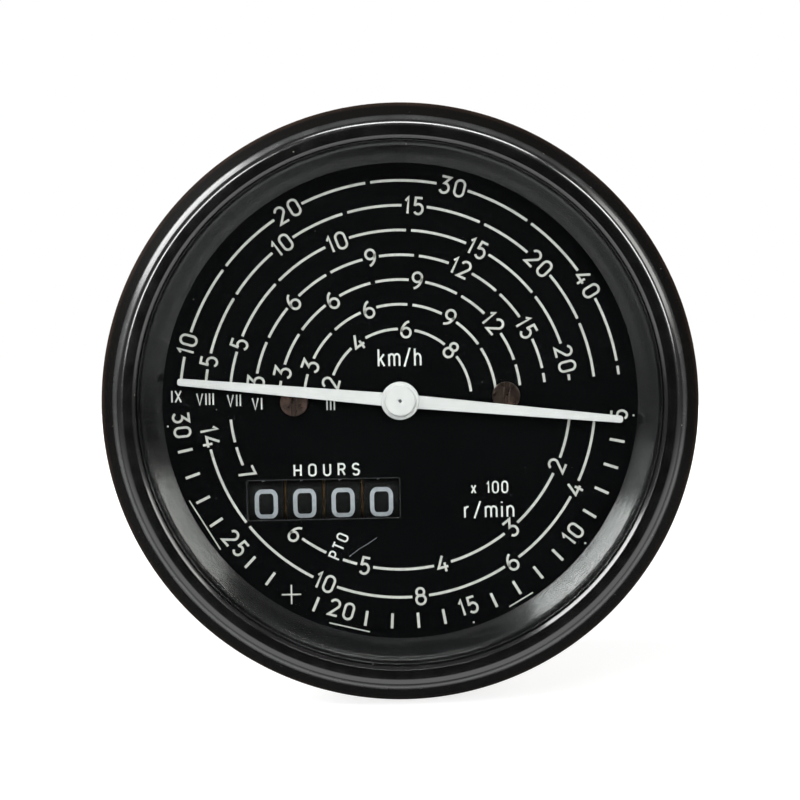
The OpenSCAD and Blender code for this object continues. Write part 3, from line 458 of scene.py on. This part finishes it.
glass_finish("clear_glass", (0.98, 1.0, 0.99), 0.0)
glass_finish("bulb_glass", (0.97, 0.96, 0.92), 0.0)
print("all finishes:", len(finishes))

# %% [markdown]
# ## The CAD pieces that stay
# Most inner pieces have the right shape already. The record says which finish each node takes,
# so one short loop dresses them all. The brass plates between the drums are given a much darker
# brass.

# %% Dress the CAD nodes
node_slot = {part["node"]: part["material_slot"] for part in frame["record"]["subparts"]}
for name, node in frame["nodes"].items():
    node.data.materials.clear()
    # the plates between the drums get a much darker brass than the record's
    between_drums = name.startswith("carrier_plate")
    node.data.materials.append(finishes["darkened_brass" if between_drums else node_slot[name]])
print("dressed", len(node_slot), "CAD nodes")

# %% [markdown]
# ## Helpers for surfaces
# Every new piece is a list of rings of points: a profile turned round an axis, or a strip of
# cross-sections along a path. Neighbouring rings are joined by quads, and the first and last
# ring are either joined to each other or closed with one face. A signed volume tells whether
# the faces point outwards.

# %% Rings of points to a mesh
def seat(x, y, z):
    """Dial coordinates in mm (x right, y up, z towards the reader) to the row frame in m:
    the point (x, -z, y) / 1000."""
    x, y, z = np.broadcast_arrays(x, y, z)
    return np.stack([x, -z, y], -1).astype(float) * MM


def ring_faces(rows, columns, closed):
    """Quads between neighbouring rings of a grid of points; closed joins last to first."""
    i = np.arange(rows if closed else rows - 1)[:, None]
    j = np.arange(columns)[None, :]
    down, right = (i + 1) % rows, (j + 1) % columns
    corners = np.broadcast_arrays(i * columns + j, i * columns + right, down * columns + right,
                                  down * columns + j)
    return np.stack(corners, -1).reshape(-1, 4)


def shell(points, closed=False):
    """Points (rings, columns, 3) and the faces of one closed shell, outwards by the sign of
    its volume: a sixth of the sum of the corners' triple products."""
    rows, columns = points.shape[:2]
    flat = points.reshape(-1, 3)
    quads = ring_faces(rows, columns, closed)
    a, b, c, d = (flat[quads[:, k]] for k in range(4))
    volume = (np.cross(a, b) * c).sum() + (np.cross(a, c) * d).sum()
    caps = []
    if not closed:
        caps = [np.arange(columns)[::-1], np.arange(columns) + (rows - 1) * columns]
        for cap in caps:
            volume += (np.cross(flat[cap[0]], flat[cap[1:-1]]) * flat[cap[2:]]).sum()
    faces = quads.tolist() + [cap.tolist() for cap in caps]
    return flat, faces if volume > 0 else [face[::-1] for face in faces]


def piece(name, shells, finish_name, body="housing", node=None, smooth_angle=38):
    """One object from a list of shells: their points one after another, their faces counted
    on. It rides on a body, and stands for a CAD node where one is named."""
    counts = np.cumsum([0] + [len(points) for points, _ in shells])
    mesh = bpy.data.meshes.new(name)
    faces = [[int(k) + int(start) for k in face]
             for start, (_, part) in zip(counts, shells) for face in part]
    mesh.from_pydata(np.concatenate([points for points, _ in shells]).tolist(), [], faces)
    mesh.shade_smooth()
    mesh.set_sharp_from_angle(angle=math.radians(smooth_angle))
    mesh.materials.append(finishes[finish_name])
    made = bpy.data.objects.new(name, mesh)
    scene.collection.objects.link(made)
    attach(made, body)
    if node:
        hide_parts(node)
    print(f"{name}: {len(mesh.vertices)} points, {len(mesh.polygons)} faces")
    return made


def flatten_shading(made):
    """Large flat faces keep their own direction when the edges round them are smooth."""
    made.modifiers.new("flat_faces", "WEIGHTED_NORMAL").keep_sharp = True


# %% [markdown]
# A section is drawn from arcs and straight runs. It is then turned round the dial's axis, or
# taken as the outline of a flat plate with a rounded upper edge.

# %% Profiles
def arc(x, y, rx, ry, start, end, steps):
    """Points on an ellipse about (x, y), from the start to the end angle in degrees."""
    a = np.radians(np.linspace(start, end, steps + 1))
    return np.stack([x + rx * np.cos(a), y + ry * np.sin(a)], -1)


def unit(vectors):
    """The same directions, each 1 long."""
    return vectors / np.linalg.norm(vectors, axis=1, keepdims=True)


def rounded(corners, radius, steps=5):
    """Closed outline with its corners turned into arcs. From a corner the arc starts at
    radius / tan(half the corner's angle) along each side; its centre lies on the bisector at
    radius / sin(half the angle)."""
    p = np.asarray(corners, float)
    back, ahead = unit(np.roll(p, 1, 0) - p), unit(np.roll(p, -1, 0) - p)
    half = np.arccos(np.clip((back * ahead).sum(1), -1, 1)) / 2
    r = np.broadcast_to(radius, half.shape)
    centre = p + unit(back + ahead) * (r / np.sin(half))[:, None]
    first = p + back * (r / np.tan(half))[:, None] - centre
    last = p + ahead * (r / np.tan(half))[:, None] - centre
    start = np.arctan2(first[:, 1], first[:, 0])
    turn = np.arctan2(last[:, 1], last[:, 0]) - start
    turn = (turn + np.pi) % (2 * np.pi) - np.pi
    a = start[:, None] + turn[:, None] * np.linspace(0, 1, steps + 1)
    round_corner = r[:, None, None] * np.stack([np.cos(a), np.sin(a)], -1)
    return (centre[:, None] + round_corner).reshape(-1, 2)


def lathe(profile, steps=192, closed=True):
    """Profile of (radius, z) turned round the dial's axis: the point (r cos a, r sin a, z)."""
    a = np.linspace(0, 2 * np.pi, steps, endpoint=False)
    r = profile[:, :1]
    return shell(seat(r * np.cos(a), r * np.sin(a), profile[:, 1:] + 0 * a), closed)


def slab(outline, low, high, bevel=0.05):
    """Flat plate of any outline between two heights. Three rings near the top draw the
    outline in by bevel along its own normals, so its upper edge is rounded."""
    ahead = unit(np.roll(outline, -1, 0) - outline)
    side = np.stack([ahead[:, 1], -ahead[:, 0]], -1)
    normal = side + np.roll(side, 1, 0)
    normal /= (normal * side).sum(1, keepdims=True).clip(0.3)
    x, y = outline.T
    normal *= np.sign((x * np.roll(y, -1) - y * np.roll(x, -1)).sum())
    t = np.radians([0, 30, 60, 90])
    inset = np.concatenate([[0], bevel * (1 - np.cos(t))])
    height = np.concatenate([[low], high - bevel + bevel * np.sin(t)])
    flat = outline[None] - normal[None] * inset[:, None, None]
    return shell(seat(flat[..., 0], flat[..., 1], height[:, None]))


# %% [markdown]
# ## The bezel
# The real bezel is one ring of thin steel, pressed over a former and rolled over the case's
# flange. It could be modelled as a swept pipe with a bevel, but the light shows every change of
# its section, so the section is drawn exactly: a rounded rear corner, a leaning flank, a large
# rounding, a flat front, and a small slope round the opening. The section goes once round the
# sheet, out along the outer face and back along the inner, and is turned round the axis.

# %% Bezel
bezel_r, sheet_t, rear_r = 55.5, 0.9, 1.0
view_r, glass_top, front_z = 48.4, 6.9, 8.0
bead_x, bead_r = 50.5, 2.5
bead_z = front_z - bead_r
gap = math.hypot(bezel_r - rear_r - bead_x, bead_z - rear_r)
lean = math.degrees(math.atan2(bead_z - rear_r, bead_x - bezel_r + rear_r)
                    - math.acos((rear_r - bead_r) / gap))
bezel_outer = np.vstack([
    arc(bezel_r - rear_r, rear_r, rear_r, rear_r, -90, lean, 14),
    arc(bead_x, bead_z, bead_r, bead_r, lean, 90, 40),
    arc(48.98, 7.86, 0.14, 0.14, 90, 137, 4), arc(48.53, 7.38, 0.13, 0.13, 137, 180, 4)])
bezel_inner = np.vstack([
    [[view_r, glass_top], [50.2, glass_top]],
    arc(bead_x, bead_z, bead_r - sheet_t, bead_r - sheet_t, 80, lean, 14),
    [[bezel_r - sheet_t, sheet_t], [50.9, sheet_t], [50.9, 0]]])
print("the flank leans in by", round(lean, 2), "degrees")
piece("bezel_skin", [lathe(np.vstack([bezel_outer, bezel_inner]), 288)], "black_lacquer",
      node="bezel")

# %% [markdown]
# ## The ring behind the glass
# A black ring with a sloped face hides the lamp holders and the dial's edge, and throws a soft
# reflection of the light towards the reader. Its section is a polygon with corners rounded by
# a few tenths of a millimetre: the thin bright line at the head of the slope is such a corner.

# %% Reflector ring
ring_section = rounded([(44.15, -2.0), (47.60, 0.66), (47.98, 0.72), (48.15, 4.4), (50.0, 4.4),
                        (50.0, 3.6), (48.9, 3.6), (48.5, 0.46), (45.38, -2.0)],
                       [0.12, 0.22, 0.10, 0.15, 0.1, 0.1, 0.2, 0.2, 0.1])
piece("ring_slope", [lathe(ring_section, 288)], "ring_lacquer", node="reflector_ring")

# %% [markdown]
# ## The glass
# A flat disc of 2.5 mm window glass with ground edges. Its profile runs from the rear flat
# round the edge to the front flat, and each flat is closed with one face.

# %% Glass
glass_section = np.vstack([arc(49.8, 4.6, 0.2, 0.2, -90, 0, 4),
                           arc(49.8, 6.7, 0.2, 0.2, 0, 90, 4)])
flatten_shading(piece("glass_disc", [lathe(glass_section, 192, closed=False)], "clear_glass",
                      node="glass"))

# %% [markdown]
# ## Figures and letters
# The dial is screen printed: every mark is a line of even thickness, also in the figures. So a
# glyph is stored as the path of the pen in a box from -1 to 1, built from straight runs and
# arcs, and one function gives any path its thickness. The box is scaled to the figure's height
# and width less the pen, so that the pen keeps its width at any size. A text object would be
# simpler, but its letters have changing stems and closed corners that this print does not have.

# %% The pen's paths
K = 0.55  # height of a full round end, in half heights
GAP = 0.20  # room between letters, in heights


def pen(*parts):
    """One path through all the points and runs of points given, in order."""
    return np.vstack([np.asarray(part, float).reshape(-1, 2) for part in parts])


def line(*parts):
    """The same, marked as an open path."""
    return pen(*parts), False


def stadium(k=K):
    """Closed upright loop: two round ends joined by straight sides."""
    return pen(arc(0, 1 - k, 1, k, 0, 180, 14), arc(0, k - 1, 1, k, 180, 360, 14)), True


six = pen(arc(0.85, -0.42, 1.85, 1.42, 101, 176, 14), arc(0, -0.42, 1, 0.58, 180, 536, 28))
arch = line((-1, -0.15), arc(0, -0.15, 1, 0.55, 180, 0, 12), (1, -1))
GLYPHS = {  # width in heights, then the paths; a path marked True is closed
    " ": (0.45,),
    "0": (0.62, stadium()),
    "1": (0.28, line((-1, 0.55), (0.9, 1), (0.9, -1))),
    "2": (0.62, line(arc(0, 1 - K, 1, K, 165, -32, 16), (-0.98, -1), (1, -1))),
    "3": (0.62, line((-0.95, 1), (0.95, 1), (-0.12, 0.2), arc(-0.02, -0.4, 1, 0.6, 88, -150, 18))),
    "4": (0.66, line((0.25, 1), (-1, -0.42), (1, -0.42)), line((0.42, 0.12), (0.42, -1))),
    "5": (0.60, line((0.80, 1), (-0.72, 1), (-0.82, 0.12),
                     arc(-0.04, -0.38, 1.0, 0.62, 128, -145, 20))),
    "6": (0.62, line(six)),
    "7": (0.60, line((-1, 1), (1, 1), (-0.25, -1))),
    "8": (0.62, (arc(0, 0.53, 0.84, 0.47, 0, 352, 22), True),
          (arc(0, -0.43, 1, 0.57, 0, 352, 24), True)),
    "9": (0.62, line(-six)),
    "I": (0.14, line((0, 1), (0, -1))),
    "V": (0.56, line((-1, 1), (0, -1), (1, 1))),
    "X": (0.56, line((-1, 1), (1, -1)), line((1, 1), (-1, -1))),
    "k": (0.52, line((-1, 1), (-1, -1)), line((0.85, 0.4), (-0.95, -0.42)),
          line((-0.35, -0.12), (1, -1))),
    "m": (0.84, line((-1, 0.4), (-1, -1)),
          line((-1, 0), arc(-0.5, 0, 0.5, 0.4, 180, 0, 10), (0, -1)),
          line((0, 0), arc(0.5, 0, 0.5, 0.4, 180, 0, 10), (1, -1))),
    "n": (0.52, line((-1, 0.4), (-1, -1)), arch),
    "h": (0.52, line((-1, 1), (-1, -1)), arch),
    "r": (0.40, line((-1, 0.4), (-1, -1)),
          line((-1, -0.15), arc(0.35, -0.15, 1.35, 0.55, 180, 75, 8))),
    "i": (0.14, line((0, 0.4), (0, -1)), line((0, 0.82), (0, 1))),
    "x": (0.50, line((-1, 0.4), (1, -1)), line((1, 0.4), (-1, -1))),
    "/": (0.52, line((1, 1.1), (-1, -1.1))),
    "H": (0.58, line((-1, 1), (-1, -1)), line((1, 1), (1, -1)), line((-1, 0), (1, 0))),
    "O": (0.60, stadium(0.48)),
    "U": (0.58, line((-1, 1), arc(0, K - 1, 1, K, 180, 360, 14), (1, 1))),
    "R": (0.56, line((-1, -1), (-1, 1), (0.2, 1), arc(0.2, 0.5, 0.8, 0.5, 80, -80, 12),
                     (0.2, 0), (-1, 0)), line((0.1, 0), (1, -1))),
    "S": (0.56, line(arc(0, 0.5, 1, 0.5, 25, 250, 16), arc(0, -0.5, 1, 0.5, 70, -155, 16))),
    "P": (0.56, line((-1, -1), (-1, 1), (0.2, 1), arc(0.2, 0.48, 0.8, 0.52, 80, -80, 12),
                     (0.2, -0.04), (-1, -0.04))),
    "T": (0.58, line((-1, 1), (1, 1)), line((0, 1), (0, -1))),
}
print(len(GLYPHS), "glyphs")

# %% [markdown]
# A path becomes a strip: at each point the two edges lie half a pen's width to either side,
# along the mean of the neighbouring normals, made longer at a corner so that the strip keeps
# its width. The strip is a very thin closed slab. Slabs that cross get heights a few
# thousandths of a millimetre apart, because two faces in one plane make the renderer flicker.

# %% Paths to thin slabs
ink_count = 0


def finer(path, closed, per_side=8):
    """The same path with points added along each side, at equal shares of its length, so
    that a straight side can follow a curved surface."""
    ahead = np.roll(path, -1, 0) if closed else path[1:]
    here = path if closed else path[:-1]
    share = np.linspace(0, 1, per_side, endpoint=False)[None, :, None]
    filled = (here[:, None] + (ahead - here)[:, None] * share).reshape(-1, 2)
    return filled if closed else np.vstack([filled, path[-1:]])


def stroke(path, width, closed=False, low=-0.01, high=0.022, bend=None):
    """Strip along the path: p -+ n * width / 2, where n is the corner's mean normal divided by
    its part along one side's normal. Its section is a flat rectangle from low to high. bend
    takes (across, along, height) to dial coordinates, and is the dial's plane if not given."""
    global ink_count
    ink_count += 1
    keep = np.linalg.norm(np.roll(path, -1, 0) - path, axis=1) > 1e-6
    keep[-1] = keep[-1] if closed else True
    path = path[keep]
    if bend is not None:
        path = finer(path, closed)
    step = np.roll(path, -1, 0) - path
    if not closed:
        step[-1] = step[-2]
    step = unit(step)
    side = np.stack([-step[:, 1], step[:, 0]], -1)
    before = np.roll(side, 1, 0)
    if not closed:
        before[0] = side[0]
    normal = side + before
    normal /= (normal * side).sum(1, keepdims=True).clip(0.35)
    left, right = path + normal * width / 2, path - normal * width / 2
    high = high + 0.0022 * (ink_count % 7)
    flat = np.stack([left, left, right, right], 1)
    height = np.broadcast_to([low, high, high, low], flat.shape[:2])
    if bend is None:
        return shell(seat(flat[..., 0], flat[..., 1], dial_z + height), closed)
    return shell(bend(flat[..., 0], flat[..., 1], height), closed)


def text(words, centre, height, right, width, total=None, gap=GAP):
    """Strokes of a line of text centred on a point. right is the unit direction of reading.
    Letters stand gap * height apart; total, where given, is the width the line is fitted to."""
    sizes = np.array([GLYPHS[c][0] for c in words]) * height
    room = gap * height
    if total is not None:
        sizes *= (total - room * (len(words) - 1)) / sizes.sum()
    starts = np.cumsum(sizes + room) - sizes - room
    starts -= (starts[-1] + sizes[-1]) / 2
    right = np.asarray(right, float)
    up = np.array([-right[1], right[0]])
    made = []
    for c, size, start in zip(words, sizes, starts):
        for path, closed in GLYPHS[c][1:]:
            half = np.array([max(size - width, 0.01), height - width]) / 2
            local = path * half + [start + size / 2, 0]
            made.append((local[:, :1] * right + local[:, 1:] * up + centre, width, closed))
    return made


def at(radius, angle, centre=(0.0, 0.0)):
    """Point at a radius and an angle clockwise from 3 o'clock, and the outward direction."""
    a = math.radians(angle)
    out = np.array([math.cos(a), -math.sin(a)])
    return radius * out + centre, out


def along(radius, start, end, centre=(0.0, 0.0), width=0.48):
    """Ring line between two angles, clockwise from 3 o'clock."""
    a = np.radians(np.linspace(start, end, max(3, int(abs(end - start) * 0.9))))
    return (np.stack([radius * np.cos(a), -radius * np.sin(a)], -1) + centre, width, False)


# %% [markdown]
# ## The scales
# Each ring is a line with figures on it and breaks beside them. It is enough to list the
# figures and the breaks by their angle, clockwise from 3 o'clock: the line between them is what
# is left. The speeds in km/h have their tops outwards, and the engine speed and power take-off
# scales in the lower half have them inwards, so that all can be read upright.

# %% Ring scales
dial_z = -2.0
figure_h, figure_pen = 3.45, 0.43
figure_gap, break_gap, least_line = 0.5, 0.48, 0.4


def ring_scale(radius, start, end, figures, breaks=(), outward=True, centre=(0.0, 0.0)):
    """Strokes of one ring: figures, listed as word@angle, set across the line, and the line
    between the places."""
    made, places = [], []
    for word, angle in (item.split("@") for item in figures.split()):
        point, out = at(radius, float(angle), centre)
        up = out if outward else -out
        made += text(word, point, figure_h, (up[1], -up[0]), figure_pen)
        wide = (sum(GLYPHS[c][0] for c in word) + GAP * (len(word) - 1)) * figure_h
        places.append((float(angle), math.degrees((wide / 2 + figure_gap) / radius)))
    places += [(angle, math.degrees(break_gap / radius)) for angle in breaks]
    edges = [start] + [a + s * w for a, w in sorted(places) for s in (-1, 1)] + [end]
    for a, b in zip(edges[::2], edges[1::2]):
        if b - a > math.degrees(least_line / radius):
            made.append(along(radius, a, b, centre))
    return made


marks = []
# The two lower rings are printed a little off the dial's centre
outer, inner = (-0.045, -0.38), (-0.04, 0.26)
for ring in (
        (41.11, 185.5, 354.4, "10@195.9 20@240.4 30@284.9 40@329.3", (218.2, 262.7, 307.1, 351.5)),
        (36.46, 185.5, 354.2, "5@192.7 10@234.0 15@275.3 20@316.6", (213.4, 254.7, 296.0, 337.2)),
        (31.83, 185.5, 354.4, "5@200.5 10@249.4 15@298.2 20@347.1", (225.0, 274.0, 322.8)),
        (27.20, 185.5, 354.0, "3@188.5 6@223.7 9@259.5 12@295.7 15@331.3",
         (205.7, 241.6, 277.6, 313.4, 349.4)),
        (22.57, 186.0, 354.0, "3@194.4 6@237.0 9@279.2 12@321.4", (215.6, 258.1, 300.4, 342.8)),
        (17.95, 186.0, 354.4, "3@201.9 6@251.9 9@301.9", (226.9, 277.0, 326.9)),
        (13.33, 187.0, 354.0, "2@195.0 4@235.1 6@276.1 8@316.5"),
        (36.45, 5.6, 167.2, "4@27.5 6@56.2 8@85.1 10@113.8", (142.4,), False, outer),
        (31.86, 5.6, 110.7, "2@24.2 3@50.5 4@76.7 5@103.0", (), False, inner),
        (31.86, 116.8, 129.0, "6@129.0", (), False, inner),
        (31.86, 155.5, 174.2, "7@155.5", (165.6,), False, inner)):
    marks += ring_scale(*ring)
point, out = at(36.2, 170.2)
marks += text("14", point, 3.6, (-out[1], out[0]), figure_pen)
print("strokes on the ring scales:", len(marks))

# %% [markdown]
# The engine speed scale has a short stroke for every hundred turns a minute and a figure at
# every fifth. A thin cross stands in for one stroke, and thin straight bars and dots near the
# edge mark the working ranges.

# %% Engine speed scale, labels and marks
def engine_angle(n):
    """Angle of n hundred turns a minute: 6.795 degrees apart, from 4.9 degrees at 5."""
    return 4.9 + 6.795 * (n - 5)


# Each figure's radius, and how many degrees it stands before its mark
figure_places = {5: (41.0, 0), 10: (40.8, 0), 15: (40.5, 0), 20: (40.6, 0), 25: (40.7, 0.6),
                 30: (41.1, 0)}
tick_from, tick_to, tick_pen = 39.85, 42.65, 0.50
cross_r, cross_arm, cross_pen = 41.6, 1.8, 0.26
for n in range(5, 31):
    angle = engine_angle(n)
    if n in figure_places:
        radius, before = figure_places[n]
        point, out = at(radius, angle - before)
        marks += text(str(n), point, 3.35, (-out[1], out[0]), figure_pen)
    elif n == 22:
        centre = at(cross_r, angle)[0]
        for arm in ((cross_arm, 0.0), (0.0, cross_arm)):
            marks.append((np.array([centre - arm, centre + arm]), cross_pen, False))
    else:
        out = at(1, angle)[1]
        marks.append((np.array([tick_from * out, tick_to * out]), tick_pen, False))
bars_at, bar_pen = 43.65, 0.22
for first, last in ((12.6, 13.6), (18.8, 20.3), (25.1, 27.2)):
    ends = [at(bars_at, engine_angle(n))[0] for n in (first, last)]
    marks.append((np.array(ends), bar_pen, False))
dots_at, dot_r, dot_pen = 43.7, 0.11, 0.14
for n in (5, 10, 15, 30):
    dot = at(dots_at, engine_angle(n))[0] + dot_r * arc(0, 0, 1, 1, 0, 315, 7)
    marks.append((dot, dot_pen, True))

small = text("km/h", (0.05, 8.02), 3.5, (1, 0), 0.34, total=8.2, gap=0.16)
small += text("x 100", (16.35, -16.6), 2.35, (1, 0), 0.29, total=7.0)
small += text("r/min", (16.2, -20.75), 3.2, (1, 0), 0.33, total=9.4)
small += text("HOURS", (-14.0, -12.7), 2.4, (1, 0), 0.33, total=12.4, gap=0.5)
label_in = at(1, 114.0)[1]
small += text("PTO", at(29.6, 114.0)[0], 2.3, -label_in, 0.30)
for word, x, y in (("IX", -41.8, 1.55), ("VIII", -36.45, 0.95), ("VII", -31.05, 0.60),
                   ("VI", -26.75, -0.10), ("III", -13.0, -0.50)):
    small += text(word, (x, y), 2.4, (1, 0), 0.27, gap=0.14)

piece("scale_print", [stroke(*mark) for mark in marks], "print_white", smooth_angle=30)
piece("label_print", [stroke(*mark) for mark in small], "label_white", smooth_angle=30)

# %% [markdown]
# ## The counter's window
# The opening is stamped through the dial, and its edge catches a little light. A painted
# highlight stands in for it: a thin dull line of lighter colour round the opening. A faint scratch
# runs near the foot of the dial.

# %% Window edge and scratch
window_x, window_y, half_w, half_h = -14.7, -18.2, 14.3, 3.75
corners = np.array([(-half_w, -half_h), (half_w, -half_h), (half_w, half_h), (-half_w, half_h)])
# painted highlight: a lighter line round the window for the light caught by its stamped edge
edge_painted_highlight = stroke(rounded(corners + [window_x, window_y], 0.35, 4), 0.20, True, high=0.012)
scratch = stroke(np.array([(-10.1, -29.0), (-8.2, -27.6), (-6.6, -26.7), (-4.9, -25.6)]), 0.07,
                 high=0.006)
piece("window_edge_painted_highlight", [edge_painted_highlight], "faint_painted_highlight")
piece("dial_scratch", [scratch], "figure_pale")

# %% [markdown]
# ## The pointer
# One stamped strip, painted white, with an arm to either side, so that it reads the engine scale
# below with one end and the road speeds above with the other. Its arms grow slimmer outwards.
# The strip is a slab with rounded upper edges, and the boss and the pressed-on cap are turned.

# %% Pointer
rest = math.radians(-6.0)
arm_root, arm_tip, reach, spindle_r = 2.55, 1.30, 41.6, 0.75
arm_low, arm_high, arm_edge = -0.3, 0.3, 0.10


def turned(points, angle):
    """Points turned about the spindle by an angle, anticlockwise."""
    c, s = math.cos(angle), math.sin(angle)
    return points @ np.array([[c, s], [-s, c]])


arm = rounded([(-reach, -arm_tip / 2), (0, -arm_root / 2), (reach, -arm_tip / 2),
               (reach, arm_tip / 2), (0, arm_root / 2), (-reach, arm_tip / 2)],
              [0.5, 6, 0.5, 0.5, 6, 0.5], 5)
boss = np.vstack([[[0.3, 0.9], [0.3, 1.42]], arc(0.42, 1.42, 0.12, 0.08, 180, 90, 3),
                  [[1.2, 1.49], [2.2, 1.48]], arc(2.60, 1.23, 0.25, 0.25, 90, 0, 4),
                  [[2.85, 0.78], [2.93, 0.70]],
                  arc(3.33, 0.48, 0.22, 0.22, 90, 0, 4), arc(3.37, -0.12, 0.18, 0.18, 0, -90, 3),
                  [[1.6, -0.3], [1.6, -1.4], [spindle_r, -1.4], [spindle_r, 0.6], [0.3, 0.6]]])
flatten_shading(piece("pointer_arms", [slab(turned(arm, rest), arm_low, arm_high, arm_edge)],
                      "pointer_white", "pointer_group", "pointer"))
piece("pointer_boss", [lathe(boss, 96)], "pointer_white", "pointer_group")

# %% [markdown]
# ## The dial's two screws
# Slotted heads, burnished dark. Each is a round foot and two half discs that leave the slot
# between them, which needs no cutting.

# %% Dial screws
def screw_head(x, y, radius, low, high, slot, angle):
    """Foot: a slab with a round outline, 0.45 of the height. Halves: chords of the circle at
    half the slot's width, turned to the slot's angle."""
    depth = low + 0.45 * (high - low)
    rim = np.degrees(np.arcsin(slot / 2 / radius))
    circle = arc(0, 0, radius, radius, 0, 352.5, 47)
    half = arc(0, 0, radius, radius, rim, 180 - rim, 26)
    shells = [slab(circle + [x, y], low, depth, 0.01)]
    for turn in (angle, angle + 180):
        shells.append(slab(turned(half, math.radians(turn)) + [x, y], depth - 0.01, high, 0.18))
    return shells


heads = []
head_r, head_top, slot_w = 2.6, -0.8, 0.95
hole_y, shank_r, shank_end = 0.05, 1.5, -8.0
for x, y, angle in ((-19.8, hole_y, 88), (19.8, 0.45, 84)):
    heads += screw_head(x, y, head_r, dial_z, head_top, slot_w, angle)
    heads.append(slab(arc(x, hole_y, shank_r, shank_r, 0, 345, 23), shank_end, dial_z, 0.2))
flatten_shading(piece("dial_screw_heads", heads, "burnished_screw", node="dial_screws"))

# %% [markdown]
# ## Figures on the drums
# Each drum carries the figures 0 to 9, a tenth of a turn apart. A figure is drawn flat like the
# print on the dial, then wrapped: its height becomes an angle round the drum's axle. A drum's
# front moves up as it counts, so the next figure stands below. The counter stands a little
# short of its figures, and all of them sit a touch low in the window.

# %% Drum figures
drum_y, drum_z, drum_r = -18.6, -14.2, 11.0
drum_names = ("units_group", "tens_drum", "hundreds_drum", "thousands_drum")
units_x, drum_pitch, too_low = -3.9, 7.2, 0.42
path_half, drum_pen = np.array([1.77, 2.37]), 0.80
zero = rounded([(-1, -1), (1, -1), (1, 1), (-1, 1)], [0.52] * 4, 6)


def wrapped(middle, turn):
    """Puts a flat figure on the drum: the height y becomes the angle turn + y / r round the
    axle, and the point is (x, r sin, r cos) from the axle."""
    def bend(x, y, height):
        angle = math.radians(turn) + y / drum_r
        r = drum_r + height
        return seat(middle + x, drum_y + r * np.sin(angle), drum_z + r * np.cos(angle))
    return bend


for place, body in enumerate(drum_names):
    middle = units_x - drum_pitch * place
    shells = []
    for figure in range(10):
        bend = wrapped(middle, -36.0 * figure - math.degrees(too_low / drum_r))
        for path, closed in ([(zero, True)] if figure == 0 else GLYPHS[str(figure)][1:]):
            shells.append(stroke(path * path_half, drum_pen, closed, -0.02, 0.03, bend))
    piece(f"figures_{body}", shells, "figure_pale", body, smooth_angle=30)

# %% [markdown]
# ## The threads at the back
# The nut of the flexible shaft screws on to the brass nipple, and two thin studs hold the mounting
# bracket. A thread is a radius that rises and falls along the axis and runs on with the angle, so
# one formula gives every point of it. It fades out over half a pitch at both ends.

# %% Threaded nipple and studs
def threaded(before, radius, pitch, low, high, after, closed, centre=(0, 0), steps=48):
    """Turned piece with a thread from low to high and plain (radius, z) points on both sides.
    On the thread r = radius - 0.61 pitch * cut * fade, where cut = clip(1.25 |2 t - 1| - 0.1,
    0, 1), t = frac(z / pitch - a / 2 pi), and fade falls to 0 half a pitch before its ends."""
    a = np.linspace(0, 2 * np.pi, steps, endpoint=False)
    per_turn = 9
    z = np.linspace(low, high, int((high - low) / pitch * per_turn) + 1)[:, None]
    t = (z / pitch - a / (2 * np.pi)) % 1.0
    cut = np.clip(1.25 * np.abs(2 * t - 1) - 0.1, 0, 1)
    r = radius - 0.61 * pitch * cut * np.clip(np.minimum(z - low, high - z) / pitch * 2, 0, 1)
    before, after = (np.array(points)[..., None] + 0 * a for points in (before, after))
    rings = np.concatenate([before, np.stack([r, z + 0 * a], 1), after])
    r, z = rings[:, 0], rings[:, 1]
    return shell(seat(centre[0] + r * np.cos(a), centre[1] + r * np.sin(a), z), closed)


nipple = threaded([(4.6, -64.0), (4.6, -85.0), (5.6, -85.0), (5.6, -89.8), (5.8, -90.0),
                   (8.3, -90.0)], 9.0, 1.5, -89.3, -71.5,
                  [(8.1, -71.5), (8.1, -70.0), (9.0, -70.0), (9.0, -69.2), (7.0, -69.2),
                   (7.0, -66.7), (5.4, -66.7), (5.4, -64.0)], True, steps=96)
piece("nipple_thread", [nipple], "brass", node="drive_nipple")
studs = []
for x in (-33, 33):
    studs.append(threaded([(2.0, -92.0)], 2.5, 0.8, -91.5, -71.5,
                          [(2.1, -71.5), (2.1, -69.2), (5.0, -69.2), (5.0, -67.7)], False, (x, 0)))
piece("stud_threads", studs, "plated_steel", node="mounting_studs")
